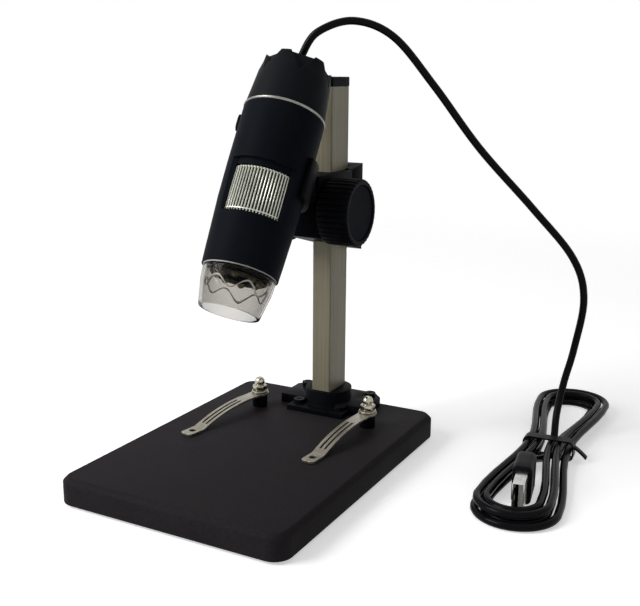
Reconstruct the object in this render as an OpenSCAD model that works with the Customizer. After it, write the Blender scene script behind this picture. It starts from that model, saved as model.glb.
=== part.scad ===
// Hand-held digital microscope in a tilting holder on a column stand.
// Millimetres, +Z up, +Y to the column side, origin under the middle of the base.

/* [Base] */
// Width of the base slab
base_w = 100; // [92:1:120]
// Depth of the base slab
base_d = 138; // [130:1:160]
// Thickness of the base slab
base_t = 10.2; // [9:0.2:14]
// Corner radius of the base slab
base_corner = 7; // [4:0.5:12]
// Height of the rubber feet below the slab
foot_h = 1; // [0.6:0.1:2]

/* [Column] */
// Sideways offset of the column from the middle of the base
column_offset = 3; // [0:0.5:5]
// Width of the column bar
column_w = 9; // [8:0.5:10]
// Depth of the column bar
column_d = 16; // [14:0.5:18]
// Height of the column's top above the slab
column_h = 148; // [140:1:170]

/* [Stage clips] */
// Distance between the two clip posts
clip_spread = 54.8; // [50:0.2:58]
// Distance from a post to the eye at the clip's tip
clip_reach = 44; // [38:0.5:46]
// Width of the clip strip
clip_w = 5.8; // [5:0.2:6.6]
// Turn of the left clip at rest
clip_turn_left = -9; // [-20:1:20]
// Turn of the right clip at rest
clip_turn_right = -4; // [-20:1:20]

/* [Height drive] */
// Height of the tilt axis above the slab at rest
pivot_h = 102.2; // [96:0.2:106]
// Width of the carriage block
carriage_w = 17; // [16:0.5:19]
// Diameter of the knobs
knob_d = 28.2; // [24:0.2:30]
// Length of a knob
knob_l = 14; // [11:0.5:16]

/* [Microscope] */
// Tilt of the microscope from upright at rest
tilt = 30.5; // [10:0.5:36]
// Turn of the focus window from the front at rest
twist = 22; // [0:1:40]
// Radius of the barrel
barrel_r = 16.4; // [15.8:0.1:17]
// Length of the holder's jaw along the barrel
jaw_l = 16.5; // [14:0.5:22]

/* [Cable] */
// Diameter of the cable
cable_d = 3.2; // [2.8:0.1:3.3]

/* [Hidden] */
$fn = 48;
gap = 0.3;
fit = 0.05;
touch = 0.1;

// Base
base_chamfer = 1.8;
top_z = foot_h + base_t;
pad_d = 12;
pad_in = 0.8;
pad_inset = 12;
pad_x = base_w / 2 - pad_inset;
pad_y = base_d / 2 - pad_inset;

// Column and its foot
cx = column_offset;
column_inset = 15.6;
cy = base_d / 2 - column_inset;
column_front = cy - column_d / 2;
column_rear = cy + column_d / 2;
column_wall = 1.5;
column_edge = 0.7;
column_top = top_z + column_h;
cap_h = 4;
cap_plug = 8;
cap_over = 0.2;
plate_t = 2.4;
plate_w = 28;
plate_ahead = 14.4;
plate_front = cy - plate_ahead;
ear_t = 4.2;
ear_w = 43;
ear_ahead = 6.4;
ear_front = cy - ear_ahead;
foot_inset = 0.5;
foot_rear = base_d / 2 - foot_inset;
ear_cut = 5;
collar_r = 10.5;
collar_h = 7;
socket_floor = 1.2;
screw_r = 1.3;
screw_head_r = 2.5;
screw_head_h = 1.8;
screw_in = 7;
cross_l = 3;
cross_w = 0.6;
cross_in = 0.8;
front_screw_x = 10.5;
front_screw_ahead = 9;
rear_screw_x = 16.5;
rear_screw_behind = 9.8;
front_screw = [front_screw_x, cy - front_screw_ahead];
rear_screw = [rear_screw_x, cy + rear_screw_behind];
grub_r = 2;
grub_l = 2.9;
grub_hex = 2.3;
grub_hex_in = 1.7;
grub_rise = 3.6;
grub_z = top_z + plate_t + grub_rise;

// Stage clips
post_y = 37.5;
stud_r = 1.5;
stud_in = 7;
spacer_r = 3.4;
spacer_h = 5.6;
strip_t = 0.9;
strip_z = spacer_h + touch;
washer_r = 3.7;
washer_z = strip_z + strip_t + touch;
washer_t = 0.9;
nut_z = washer_z + washer_t;
nut_af = 5.8;
nut_h = 2.6;
dome_r = 2.3;
dome_h = 1.4;
tip_l = 4.6;
tip_edge = 1.5;
tip_rise = 4;
eye_bore = 1.6;
heel_r = 4;
slot_w = 0.9;
slot_ends = 21;
slot_shift = 3.5;
strip_flat = 10;
strip_steps = 20;

// Height drive
knob_shaft_r = 3;
roller_r = 8.37;
roller_w = 8.4;
cavity_r = roller_r + 0.38;
knob_y = column_front - roller_r - 0.03;
front_wall = 1.35;
pivot_ear_r = 4.3;
pivot_y = knob_y - cavity_r - front_wall - gap - touch - pivot_ear_r;
pivot_z = top_z + pivot_h;
knob_drop = 9;
knob_z = pivot_z - knob_drop;
carriage_front = pivot_y + pivot_ear_r + gap + touch;
carriage_behind = 6.3;
cover_lap = 4.4;
carriage_rise = 8.5;
carriage_drop = 30.3;
carriage_rear = column_rear + carriage_behind;
carriage_split = column_rear - cover_lap;
carriage_top = pivot_z + carriage_rise;
carriage_low = pivot_z - carriage_drop;
carriage_slope = 0.27;
cover_fall = 2.4;
cover_top_front = carriage_top - cover_fall;
slide_gap = 0.08;
pad_t = 1.4;
pad_drop = 10;
pad_mid = pivot_z - pad_drop;
pad_h = 20;
pad_w = 7;
cover_screw_r = 1.1;
cover_screw_x = (column_w + carriage_w) / 4 - 0.2;
low_screw_drop = 18.4;
high_screw_drop = 1.4;
cover_screw_z = [pivot_z - low_screw_drop, pivot_z - high_screw_drop];
cover_head_r = 1.6;
cover_head_h = 1.6;
cover_screw_in = 12;
cover_cross = [2.2, 0.5, 0.7];
knob_gap = 0.5;
knob_ridges = 36;
ridge_r = 0.75;
ridge_out = 0.25;
knob_bore_in = 9;
face_r = knob_d / 2 - 2.6;
face_t = 1.2;
face_sink = 0.5;

// Holder
tongue_half = 2.6;
ear_gap = 0.25;
ear_thick = 2.6;
tilt_screw_r = 2;
tilt_head_r = 3.7;
tilt_head_h = 2.3;
tilt_slot = 1;
tilt_nut_af = 7;
tilt_nut_h = 3;
head_gap = 0.15;
ear_out = tongue_half + ear_gap + ear_thick;
jaw_fit = 0.1;
jaw_t = 2;
jaw_r = barrel_r + jaw_fit;
jaw_top = -18.5;
jaw_wrap = 4;
ring_up = 23;
axis_off = jaw_r + jaw_t + gap + touch + pivot_ear_r;

// Microscope, along its own axis, with zero just above the trim ring
ring_z = -1.2;
ring_half = 0.5;
ring_low = ring_z - ring_half;
ring_high = ring_z + ring_half;
ring_r = barrel_r + 0.2;
ring_in = barrel_r - 1.5;
seam_z = -26;
nose_z = -67.2;
wall_in = barrel_r - 1.8;
wheel_room = barrel_r - 1.4;
spigot_r = wheel_room - touch;
spigot_in = spigot_r - 1.7;
spigot_low = seam_z - 2.6;
low_in = barrel_r - 3;
barrel_taper = [
    [barrel_r - 0.2, -40], [barrel_r - 0.65, -50], [barrel_r - 1.05, -60], [barrel_r - 1.4, nose_z]
];
wheel_floor = -48.5;
window_low = -47.5;
window_in = 38;
window_out = 55;
wheel_r = wheel_room - gap;
wheel_ridge = 0.5;
wheel_count = 72;
wheel_high = spigot_low - gap;
wheel_low = wheel_floor + gap;
guide_r = 12;
guide_in = 10.3;
guide_top = -12;
guide_low = -68.2;
flange_t = 2;
flange_top = -22;
flange_low = -59;
carrier_r = guide_in - 0.08;
carrier_in = 7.5;
carrier_mid = -44;
carrier_half = 6;
lug_w = 2.6;
lug_h = 2.6;
lug_r = 11.8;
lug_room = 5;
lens_r = carrier_in - fit;
lens_ball = 20;
lens_half = 2;
front_lens_z = carrier_mid - 3.6;
rear_lens_z = carrier_mid + 3.6;
board_t = 1.2;
board_r = guide_r + 0.3;
chip_w = 7;
chip_t = 1.2;
led_board_r = 11.2;
led_hole_r = 5;
led_count = 8;
led_circle = 8.6;
led_r = 1.4;
led_h = 0.9;
nose_spigot = low_in - touch;
nose_spigot_in = 12.1;
nose_spigot_z = -62.5;
nose_wall = 1.3;
nose_top_r = barrel_r - 2.05;
nose_mid = [barrel_r - 2.6, -73.8];
nose_end = [barrel_r - 4.5, -83];
diffuser_wall = 0.7;
diffuser_in = led_board_r + gap;
diffuser_r = diffuser_in + diffuser_wall;
diffuser_bend = -73.4;
diffuser_low = -76;
diffuser_narrow = 0.5;
diffuser_wave = 4;
diffuser_waves = 6;
wave_steps = 10;
cap_end = 21;
cap_taper = [[barrel_r - 1.2, 10], [barrel_r - 1.55, 14], [barrel_r - 2.4, 18], [barrel_r - 2.7, cap_end]];
cap_spigot_in = wall_in - 1.6;
cap_spigot_low = -3.2;
cap_room = 9;
cap_well_r = 8;
cap_notches = 6;
notch_low = 12.6;
notch_half = 5;
notch_in = 11.2;
notch_turn = 13.5;
cap_rim_in = 10.4;
cap_floor = 17.5;
boot_r = 3.3;
boot_flange_r = 5;
boot_flange_h = 1.4;
boot_end_r = 2.4;
boot_end = 23;
boot_in = 3;
button_z = -7.8;
button_l = 7;
button_w = 4.6;
button_out = barrel_r + 1;
button_in = barrel_r - 3.1;
button_flange = 0.8;
button_flange_w = 0.7;
button_room = 0.15;
switch_gap = 0.7;
switch_depth = 3;
switch_w = 6;
plunger_r = 1;
plunger_l = 1;

// Cable, hank and plug
cable_r = cable_d / 2;
cord_sides = 8;
cord_step = 4;
cord_side = [0.8, -0.6, 0];
boot_tip = head_point([0, 0, boot_end]);
boot_way = head_way([0, 0, 1]);
cable_route = [
    [9, 29, 176.5], [22, 35, 181], [36, 43, 175], [50, 53, 156],
    [67, 63, 131], [87, 76, 106], [103, 85, 85], [108, 89, 67],
    [105, 91, 44], [102, 89, 28], [101, 84, 15]
];
hank_at = [101, 70];
hank_yaw = 4;
hank_pitch = cable_d + 0.5;
hank_loops = 2;
loop_rings = 24;
hank_sides = 6;
lobe_r = 16.5;
waist_r = 2.5 * hank_pitch;
lobe_mid = 60;
run_part = 1 / 6;
turn_part = 1 / 3;
lobe_z = cable_r + 0.05;
waist_lift = 0.9;
hank_tail = [[-1.9, -22, 6.9], [-0.9, -16, 4.6], [0.4, -10, 2.9], [1.5, -4.5, lobe_z + waist_lift]];
gap_step = 2;
gap_skip = 12;
tie_t = 0.7;
tie_w = 5;
tie_room = 0.3;
tie_tail = [7, 3, 0.9];
tie_tail_drop = 2.6;
plug_h = 15.6;
plug_at = [-1, -36.5, plug_h / 2 + 0.05];
plug_turn = 6;
plug_t = 7.6;
plug_l = 16;
plug_edge = 2;
relief_l = 6;
relief_r = 2.7;
tail_way = [-sin(plug_turn), cos(plug_turn), 0];
tail_tip = plug_at + relief_l * tail_way;
shell_h = 12;
shell_t = 4.5;
shell_l = 12;
shell_wall = 0.35;
shell_in = 6;
tongue_h = 11;
tongue_t = 1.9;
tongue_l = 9;
contact_l = 7;
contact_w = 1;
contact_t = 0.2;
contact_end = 1;
contact_y = [-3.5, -1, 1, 3.5];

// Where the holder's frame puts a point of the microscope, and a direction
function head_way(v) = [v[0], v[1] * cos(tilt) + v[2] * sin(tilt), v[2] * cos(tilt) - v[1] * sin(tilt)];
function head_point(p) = [cx, pivot_y, pivot_z] + head_way(p + [0, -axis_off, ring_up]);

// Smooth step, unit vector and a spline through points
function ease(t) = let (u = max(0, min(1, t))) u * u * (3 - 2 * u);
function unit(v) = v / norm(v);
function spline(a, b, c, d, t) =
    0.5 * (2 * b + (c - a) * t + (2 * a - 5 * b + 4 * c - d) * t * t + (3 * b - a - 3 * c + d) * t * t * t);
function route(p, n) = [
    for (i = [0 : len(p) - 2], j = [0 : n - 1])
        spline(p[max(i - 1, 0)], p[i], p[i + 1], p[min(i + 2, len(p) - 1)], j / n),
    p[len(p) - 1]
];

// Rings of a round tube along points, with its end rings square to the given ways
function tube_way(p, i, first, last) =
    i == 0 ? first : i == len(p) - 1 ? last : unit(p[i + 1] - p[i - 1]);
function tube_ring(p, w, side, r, n) =
    let (u = unit(cross(side, w)), v = cross(w, u))
    [for (k = [0 : n - 1]) p + r * (u * cos(360 * k / n) + v * sin(360 * k / n))];

module tube(p, first, last, side, r, n) {
    m = len(p);
    points = [for (i = [0 : m - 1]) each tube_ring(p[i], tube_way(p, i, first, last), side, r, n)];
    walls = [
        for (i = [0 : m - 2], k = [0 : n - 1])
            each [
                [i * n + k, (i + 1) * n + k, i * n + (k + 1) % n],
                [i * n + (k + 1) % n, (i + 1) * n + k, (i + 1) * n + (k + 1) % n]
            ]
    ];
    polyhedron(points, concat(
        walls,
        [for (k = [1 : n - 2]) [0, k, k + 1]],
        [for (k = [1 : n - 2]) (m - 1) * n * [1, 1, 1] + [0, k + 1, k]]
    ));
}

// Shared flat shapes
module rounded(w, d, r) {
    square([w - 2 * r, d], center = true);
    square([w, d - 2 * r], center = true);
    for (x = [-1, 1], y = [-1, 1]) {
        translate([x * (w / 2 - r), y * (d / 2 - r)]) circle(r);
    }
}

module stadium(w, l) {
    square([w, l - w], center = true);
    for (y = [-1, 1]) {
        translate([0, y * (l - w) / 2]) circle(w / 2);
    }
}

module across_x(l) {
    rotate([90, 0, 90]) linear_extrude(l, center = true) children();
}

module at_pivot() {
    translate([cx, pivot_y, pivot_z]) children();
}

module in_holder() {
    at_pivot() rotate([-tilt, 0, 0]) translate([0, -axis_off, ring_up]) children();
}

module in_scope() {
    in_holder() rotate([0, 0, twist]) children();
}

module in_hank() {
    translate([hank_at[0], hank_at[1], 0]) rotate([0, 0, hank_yaw]) children();
}

module in_plug() {
    in_hank() translate(plug_at) rotate([0, 0, plug_turn]) rotate([90, 0, 0]) children();
}

// Base slab with a 45 degree edge round its top
module slab(w, d, t, r, c) {
    linear_extrude(t - c) rounded(w, d, r);
    translate([0, 0, t - c]) {
        for (x = [-1, 1], y = [-1, 1]) {
            translate([x * (w / 2 - r), y * (d / 2 - r)]) cylinder(h = c, r1 = r, r2 = r - c);
        }
        across_x(w - 2 * r) polygon([[-d / 2, 0], [d / 2, 0], [d / 2 - c, c], [c - d / 2, c]]);
        rotate([0, 0, 90]) across_x(d - 2 * r)
            polygon([[-w / 2, 0], [w / 2, 0], [w / 2 - c, c], [c - w / 2, c]]);
    }
}

module at_pads() {
    for (x = [-1, 1], y = [-1, 1]) {
        translate([x * pad_x, y * pad_y, 0]) children();
    }
}

module at_posts() {
    for (x = [-1, 1]) {
        translate([cx + x * clip_spread / 2, post_y, top_z]) children();
    }
}

module at_foot_screws() {
    for (x = [-1, 1]) {
        translate([cx + x * front_screw[0], front_screw[1], top_z + plate_t]) children();
        translate([cx + x * rear_screw[0], rear_screw[1], top_z + ear_t]) children();
    }
}

module base_plate() {
    color([0.08, 0.08, 0.09]) difference() {
        translate([0, 0, foot_h]) slab(base_w, base_d, base_t, base_corner, base_chamfer);
        at_pads() cylinder(h = foot_h + pad_in, d = pad_d + 2 * touch);
        at_posts() translate([0, 0, -stud_in]) cylinder(h = stud_in + 1, r = stud_r + fit);
        at_foot_screws() translate([0, 0, -ear_t - screw_in]) cylinder(h = 2 * screw_in, r = screw_r + fit);
    }
}

module base_feet() {
    color([0.12, 0.12, 0.12]) at_pads() cylinder(h = foot_h + pad_in, d = pad_d);
}

module column_foot() {
    color([0.07, 0.07, 0.08]) difference() {
        translate([cx, 0, top_z]) union() {
            translate([-plate_w / 2, plate_front]) cube([plate_w, foot_rear - plate_front, plate_t]);
            linear_extrude(ear_t) polygon([
                [-ear_w / 2, ear_front], [ear_w / 2, ear_front], [ear_w / 2, foot_rear - ear_cut],
                [ear_w / 2 - ear_cut, foot_rear], [ear_cut - ear_w / 2, foot_rear],
                [-ear_w / 2, foot_rear - ear_cut]
            ]);
            translate([0, cy]) cylinder(h = plate_t + collar_h, r = collar_r);
        }
        translate([cx, cy, top_z + socket_floor]) linear_extrude(plate_t + collar_h)
            rounded(column_w + 2 * fit, column_d + 2 * fit, column_edge + fit);
        at_foot_screws() translate([0, 0, -ear_t - 1]) cylinder(h = ear_t + 2, r = screw_r + touch);
        translate([cx, cy, grub_z]) rotate([-90, 0, 0]) cylinder(h = 2 * collar_r, r = grub_r + fit);
    }
}

module foot_screws() {
    color([0.2, 0.2, 0.21]) at_foot_screws() difference() {
        union() {
            cylinder(h = screw_head_h, r = screw_head_r);
            translate([0, 0, -screw_in]) cylinder(h = screw_in + touch, r = screw_r);
        }
        for (a = [0, 90]) {
            rotate([0, 0, a]) translate([-cross_l / 2, -cross_w / 2, screw_head_h - cross_in])
                cube([cross_l, cross_w, 2 * cross_in]);
        }
    }
}

module column_set_screw() {
    color([0.3, 0.3, 0.31]) translate([cx, column_rear + fit, grub_z]) rotate([-90, 0, 0]) difference() {
        cylinder(h = grub_l, r = grub_r);
        translate([0, 0, grub_l - grub_hex_in]) cylinder(h = grub_l, d = grub_hex, $fn = 6);
    }
}

module column() {
    color([0.78, 0.79, 0.8]) translate([cx, cy, 0]) difference() {
        translate([0, 0, top_z + socket_floor]) linear_extrude(column_h - socket_floor - cap_h)
            rounded(column_w, column_d, column_edge);
        linear_extrude(column_top + 1)
            square([column_w - 2 * column_wall, column_d - 2 * column_wall], center = true);
    }
}

module column_cap() {
    color([0.06, 0.06, 0.07]) translate([cx, cy, column_top - cap_h]) union() {
        linear_extrude(cap_h)
            rounded(column_w + 2 * cap_over, column_d + 2 * cap_over, column_edge + cap_over);
        translate([0, 0, -cap_plug]) linear_extrude(cap_plug + 1)
            square([column_w - 2 * column_wall - 2 * touch, column_d - 2 * column_wall - 2 * touch],
                center = true);
    }
}

module clip_spacers() {
    color([0.08, 0.08, 0.08]) at_posts() difference() {
        cylinder(h = spacer_h, r = spacer_r);
        translate([0, 0, -1]) cylinder(h = spacer_h + 2, r = stud_r + fit);
    }
}

module clip_studs() {
    color([0.7, 0.7, 0.72]) at_posts() translate([0, 0, -stud_in])
        cylinder(h = stud_in + nut_z + nut_h, r = stud_r);
}

// Height of the strip's underside along its length, from the post to the tip
function strip_low(t) = gap + (strip_z - gap) * (1 - t * t);

module clip() {
    run = clip_reach - strip_flat - tip_rise;
    low = [for (i = [0 : strip_steps]) [-strip_flat - run * i / strip_steps, strip_low(i / strip_steps)]];
    lower = concat([[heel_r, strip_z]], low, [[-clip_reach - tip_l, gap]]);
    upper = [for (i = [len(lower) - 1 : -1 : 0]) lower[i] + [0, strip_t]];
    intersection() {
        across_x(2 * heel_r) polygon(concat(lower, upper));
        linear_extrude(spacer_h + 4) difference() {
            union() {
                circle(heel_r);
                translate([0, -(clip_reach + tip_l) / 2]) rounded(clip_w, clip_reach + tip_l, tip_edge);
            }
            circle(stud_r + fit);
            translate([0, -clip_reach]) circle(eye_bore);
            for (x = [-1, 1]) {
                translate([x * clip_w / 6, -clip_reach / 2 - slot_shift]) stadium(slot_w, clip_reach - slot_ends);
            }
        }
    }
}

module clip_left() {
    color([0.75, 0.76, 0.78]) translate([cx - clip_spread / 2, post_y, top_z])
        rotate([0, 0, clip_turn_left]) clip();
}

module clip_right() {
    color([0.75, 0.76, 0.78]) translate([cx + clip_spread / 2, post_y, top_z])
        rotate([0, 0, clip_turn_right]) clip();
}

module clip_washers() {
    color([0.75, 0.75, 0.76]) at_posts() translate([0, 0, washer_z]) difference() {
        cylinder(h = washer_t, r = washer_r);
        translate([0, 0, -1]) cylinder(h = washer_t + 2, r = stud_r + fit);
    }
}

module clip_nuts() {
    color([0.8, 0.8, 0.82]) at_posts() translate([0, 0, nut_z]) difference() {
        union() {
            cylinder(h = nut_h, r = nut_af / 2 / cos(30), $fn = 6);
            cylinder(h = nut_h + dome_h, r = dome_r);
            translate([0, 0, nut_h + dome_h]) sphere(dome_r);
        }
        translate([0, 0, -1]) cylinder(h = nut_h + 1 + touch, r = stud_r + fit);
    }
}

// Underside of the carriage at a given depth
function under(y) = carriage_low + carriage_slope * (carriage_rear - y);

module knob_axis() {
    translate([cx, knob_y, knob_z]) rotate([0, 90, 0]) children();
}

module at_cover_screws() {
    for (x = [-1, 1], z = cover_screw_z) {
        translate([cx + x * cover_screw_x, carriage_rear, z]) rotate([90, 0, 0]) children();
    }
}

module column_room() {
    translate([cx, cy, 0]) linear_extrude(2 * column_top)
        rounded(column_w + 2 * slide_gap, column_d + 2 * slide_gap, column_edge);
}

module carriage_body() {
    color([0.07, 0.07, 0.08]) difference() {
        union() {
            translate([cx, 0, 0]) across_x(carriage_w) polygon([
                [carriage_front, under(carriage_front)], [carriage_split, under(carriage_split)],
                [carriage_split, cover_top_front], [carriage_front, cover_top_front]
            ]);
            at_pivot() across_x(2 * tongue_half) union() {
                circle(pivot_ear_r - touch);
                translate([0, touch - pivot_ear_r])
                    square([carriage_front - pivot_y + 1, 2 * (pivot_ear_r - touch)]);
            }
        }
        column_room();
        knob_axis() cylinder(h = roller_w + 4 * slide_gap, r = cavity_r, center = true);
        knob_axis() cylinder(h = 2 * carriage_w, r = knob_shaft_r + fit, center = true);
        at_pivot() rotate([0, 90, 0]) cylinder(h = 4 * tongue_half, r = tilt_screw_r + fit, center = true);
        at_cover_screws() cylinder(h = carriage_rear - carriage_split + cover_screw_in,
            r = cover_screw_r + fit);
    }
}

module carriage_cover() {
    color([0.09, 0.09, 0.1]) difference() {
        translate([cx, 0, 0]) across_x(carriage_w) polygon([
            [carriage_split, under(carriage_split)], [carriage_rear, under(carriage_rear)],
            [carriage_rear, carriage_top], [carriage_split, cover_top_front]
        ]);
        column_room();
        translate([cx, column_rear, pad_mid])
            cube([pad_w + 2 * touch, 2 * (pad_t + fit), pad_h + 2 * touch], center = true);
        at_cover_screws() translate([0, 0, -1]) cylinder(h = 2 * carriage_w, r = cover_screw_r + fit);
        at_cover_screws() translate([0, 0, -1])
            cylinder(h = 1 + cover_head_h + touch, r = cover_head_r + touch);
    }
}

module cover_screws() {
    color([0.25, 0.25, 0.26]) at_cover_screws() translate([0, 0, touch]) difference() {
        union() {
            cylinder(h = cover_head_h, r = cover_head_r);
            cylinder(h = carriage_rear - carriage_split + cover_screw_in - 1, r = cover_screw_r);
        }
        for (a = [0, 90]) {
            rotate([0, 0, a]) translate([-cover_cross[0] / 2, -cover_cross[1] / 2, -cover_cross[2]])
                cube([cover_cross[0], cover_cross[1], 2 * cover_cross[2]]);
        }
    }
}

module friction_pad() {
    color([0.85, 0.85, 0.8]) translate([cx - pad_w / 2, column_rear + fit, pad_mid - pad_h / 2])
        cube([pad_w, pad_t, pad_h]);
}

knob_from = carriage_w / 2 + knob_gap;

module knob_shaft() {
    color([0.7, 0.7, 0.72]) knob_axis()
        cylinder(h = 2 * (knob_from + knob_bore_in), r = knob_shaft_r, center = true);
}

module friction_roller() {
    color([0.1, 0.1, 0.1]) knob_axis() difference() {
        cylinder(h = roller_w, r = roller_r, center = true);
        cylinder(h = 2 * roller_w, r = knob_shaft_r + fit, center = true);
    }
}

// Knob along +Z from its inner end, with ridges and a sunk face
module knob() {
    difference() {
        linear_extrude(knob_l) difference() {
            circle(knob_d / 2, $fn = 72);
            for (i = [0 : knob_ridges - 1]) {
                rotate([0, 0, 360 * i / knob_ridges]) translate([knob_d / 2 + ridge_out, 0])
                    circle(ridge_r, $fn = 16);
            }
        }
        translate([0, 0, -1]) cylinder(h = knob_bore_in + 1 + touch, r = knob_shaft_r + fit);
        translate([0, 0, knob_l - face_sink - face_t]) cylinder(h = face_t + 2, r = face_r + touch);
    }
}

module knob_face() {
    translate([0, 0, knob_l - face_sink - face_t]) cylinder(h = face_t, r = face_r);
}

module right_side() {
    knob_axis() translate([0, 0, knob_from]) children();
}

module left_side() {
    knob_axis() rotate([180, 0, 0]) translate([0, 0, knob_from]) children();
}

module knob_right() {
    color([0.06, 0.06, 0.07]) right_side() knob();
}

module knob_left() {
    color([0.06, 0.06, 0.07]) left_side() knob();
}

module knob_faces() {
    color([0.1, 0.1, 0.11]) {
        right_side() knob_face();
        left_side() knob_face();
    }
}

module holder_jaw() {
    color([0.08, 0.08, 0.09]) difference() {
        union() {
            in_holder() translate([0, 0, jaw_top - jaw_l]) linear_extrude(jaw_l) difference() {
                circle(jaw_r + jaw_t, $fn = 96);
                translate([-2 * jaw_r, -2 * jaw_r]) square([4 * jaw_r, 2 * jaw_r - jaw_r * sin(jaw_wrap)]);
            }
            at_pivot() rotate([-tilt, 0, 0]) for (x = [-1, 1]) {
                translate([x * (tongue_half + ear_gap + ear_thick / 2), 0, 0]) across_x(ear_thick) union() {
                    circle(pivot_ear_r);
                    translate([jaw_r - axis_off, -pivot_ear_r]) square([axis_off - jaw_r, 2 * pivot_ear_r]);
                }
            }
        }
        in_holder() translate([0, 0, jaw_top - jaw_l - 1]) cylinder(h = jaw_l + 2, r = jaw_r, $fn = 96);
        at_pivot() rotate([0, 90, 0]) cylinder(h = 4 * ear_out, r = tilt_screw_r + fit, center = true);
    }
}

module tilt_screw() {
    color([0.3, 0.3, 0.31]) at_pivot() rotate([0, 90, 0]) difference() {
        union() {
            translate([0, 0, -ear_out - head_gap - tilt_nut_h])
                cylinder(h = 2 * (ear_out + head_gap) + tilt_nut_h + 0.5, r = tilt_screw_r);
            translate([0, 0, ear_out + head_gap]) cylinder(h = tilt_head_h, r = tilt_head_r);
        }
        translate([-tilt_slot / 2, -2 * tilt_head_r, ear_out + head_gap + tilt_head_h - tilt_slot])
            cube([tilt_slot, 4 * tilt_head_r, 2 * tilt_slot]);
    }
}

module tilt_nut() {
    color([0.7, 0.7, 0.72]) at_pivot() rotate([0, -90, 0])
        translate([0, 0, ear_out + head_gap]) difference() {
            cylinder(h = tilt_nut_h, r = tilt_nut_af / 2 / cos(30), $fn = 6);
            translate([0, 0, -1]) cylinder(h = tilt_nut_h + 2, r = tilt_screw_r + fit);
        }
}

module button_hole(room) {
    translate([0, 0, button_z]) rotate([0, -90, 0]) rotate([0, 0, 90])
        linear_extrude(2 * barrel_r) stadium(button_w + 2 * room, button_l + 2 * room);
}

module upper_barrel() {
    color([0.06, 0.06, 0.07]) in_scope() difference() {
        rotate_extrude($fn = 96) polygon([
            [wall_in, ring_low], [barrel_r, ring_low], [barrel_r, seam_z], [spigot_r, seam_z],
            [spigot_r, spigot_low], [spigot_in, spigot_low], [spigot_in, seam_z + 2], [wall_in, seam_z + 2]
        ]);
        button_hole(button_room);
    }
}

module lower_barrel() {
    color([0.06, 0.06, 0.07]) in_scope() difference() {
        rotate_extrude($fn = 96) polygon(concat(
            [[wheel_room, seam_z], [barrel_r, seam_z]],
            barrel_taper,
            [[low_in, nose_z], [low_in, wheel_floor], [wheel_room, wheel_floor]]
        ));
        translate([0, 0, window_low]) linear_extrude(seam_z - window_low + 1) polygon([
            for (p = [[-window_in, 0.85], [-window_out, 1.1], [-window_out, 2], [window_out, 2],
                [window_out, 1.1], [window_in, 0.85]])
                barrel_r * p[1] * [sin(p[0]), -cos(p[0])]
        ]);
    }
}

module trim_ring() {
    color([0.8, 0.8, 0.82]) in_scope() rotate_extrude($fn = 96)
        translate([ring_in, ring_low]) square([ring_r - ring_in, ring_high - ring_low]);
}

module end_cap() {
    color([0.06, 0.06, 0.07]) in_scope() difference() {
        rotate_extrude($fn = 96) polygon(concat(
            [[cap_spigot_in, cap_spigot_low], [wall_in - touch, cap_spigot_low]],
            [[wall_in - touch, ring_high], [barrel_r - 0.2, ring_high]],
            cap_taper,
            [[cap_rim_in, cap_end], [cap_rim_in, cap_floor], [boot_r + touch, cap_floor]],
            [[boot_r + touch, cap_floor - boot_in], [cap_well_r, cap_floor - boot_in]],
            [[cap_well_r, cap_room], [cap_spigot_in, cap_room]]
        ));
        for (i = [0 : cap_notches - 1]) {
            rotate([0, 0, notch_turn + 360 * i / cap_notches]) translate([0, -notch_in, 0])
                rotate([90, 0, 0]) linear_extrude(barrel_r)
                    polygon([[0, notch_low], [notch_half, cap_end + 0.1], [-notch_half, cap_end + 0.1]]);
        }
    }
}

module cable_boot() {
    color([0.05, 0.05, 0.05]) in_scope() rotate_extrude() polygon([
        [0, cap_floor - boot_in], [boot_r, cap_floor - boot_in], [boot_r, cap_floor],
        [boot_flange_r, cap_floor], [boot_flange_r, cap_floor + boot_flange_h],
        [boot_r, cap_floor + boot_flange_h], [boot_end_r, boot_end], [0, boot_end]
    ]);
}

module focus_wheel() {
    color([0.6, 0.61, 0.57]) in_scope() translate([0, 0, wheel_low]) difference() {
        linear_extrude(wheel_high - wheel_low) polygon([
            for (i = [0 : 2 * wheel_count - 1])
                (wheel_r - wheel_ridge * (i % 2)) * [sin(180 * i / wheel_count), cos(180 * i / wheel_count)]
        ]);
        translate([0, 0, -1]) cylinder(h = wheel_high - wheel_low + 2, r = guide_r + fit, $fn = 96);
    }
}

module lens_guide() {
    color([0.1, 0.1, 0.1]) in_scope() difference() {
        rotate_extrude($fn = 72) polygon([
            [guide_in, guide_low], [guide_r, guide_low], [guide_r, flange_low - flange_t],
            [low_in - touch, flange_low - flange_t], [low_in - touch, flange_low], [guide_r, flange_low],
            [guide_r, flange_top - flange_t], [wall_in - touch, flange_top - flange_t],
            [wall_in - touch, flange_top], [guide_r, flange_top], [guide_r, guide_top], [guide_in, guide_top]
        ]);
        translate([0, 0, carrier_mid])
            cube([2 * guide_r + 2, lug_w + 4 * slide_gap, lug_h + 2 * lug_room], center = true);
    }
}

module lens_carrier() {
    color([0.12, 0.12, 0.12]) in_scope() translate([0, 0, carrier_mid]) difference() {
        union() {
            cylinder(h = 2 * carrier_half, r = carrier_r, center = true, $fn = 72);
            intersection() {
                cube([2 * guide_r, lug_w, lug_h], center = true);
                cylinder(h = lug_h, r = lug_r, center = true, $fn = 72);
            }
        }
        cylinder(h = 3 * carrier_half, r = carrier_in, center = true, $fn = 72);
    }
}

// Lens with two convex faces
module lens() {
    intersection() {
        cylinder(h = 2 * lens_half, r = lens_r, center = true);
        translate([0, 0, lens_half - lens_ball]) sphere(lens_ball, $fn = 96);
        translate([0, 0, lens_ball - lens_half]) sphere(lens_ball, $fn = 96);
    }
}

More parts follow.
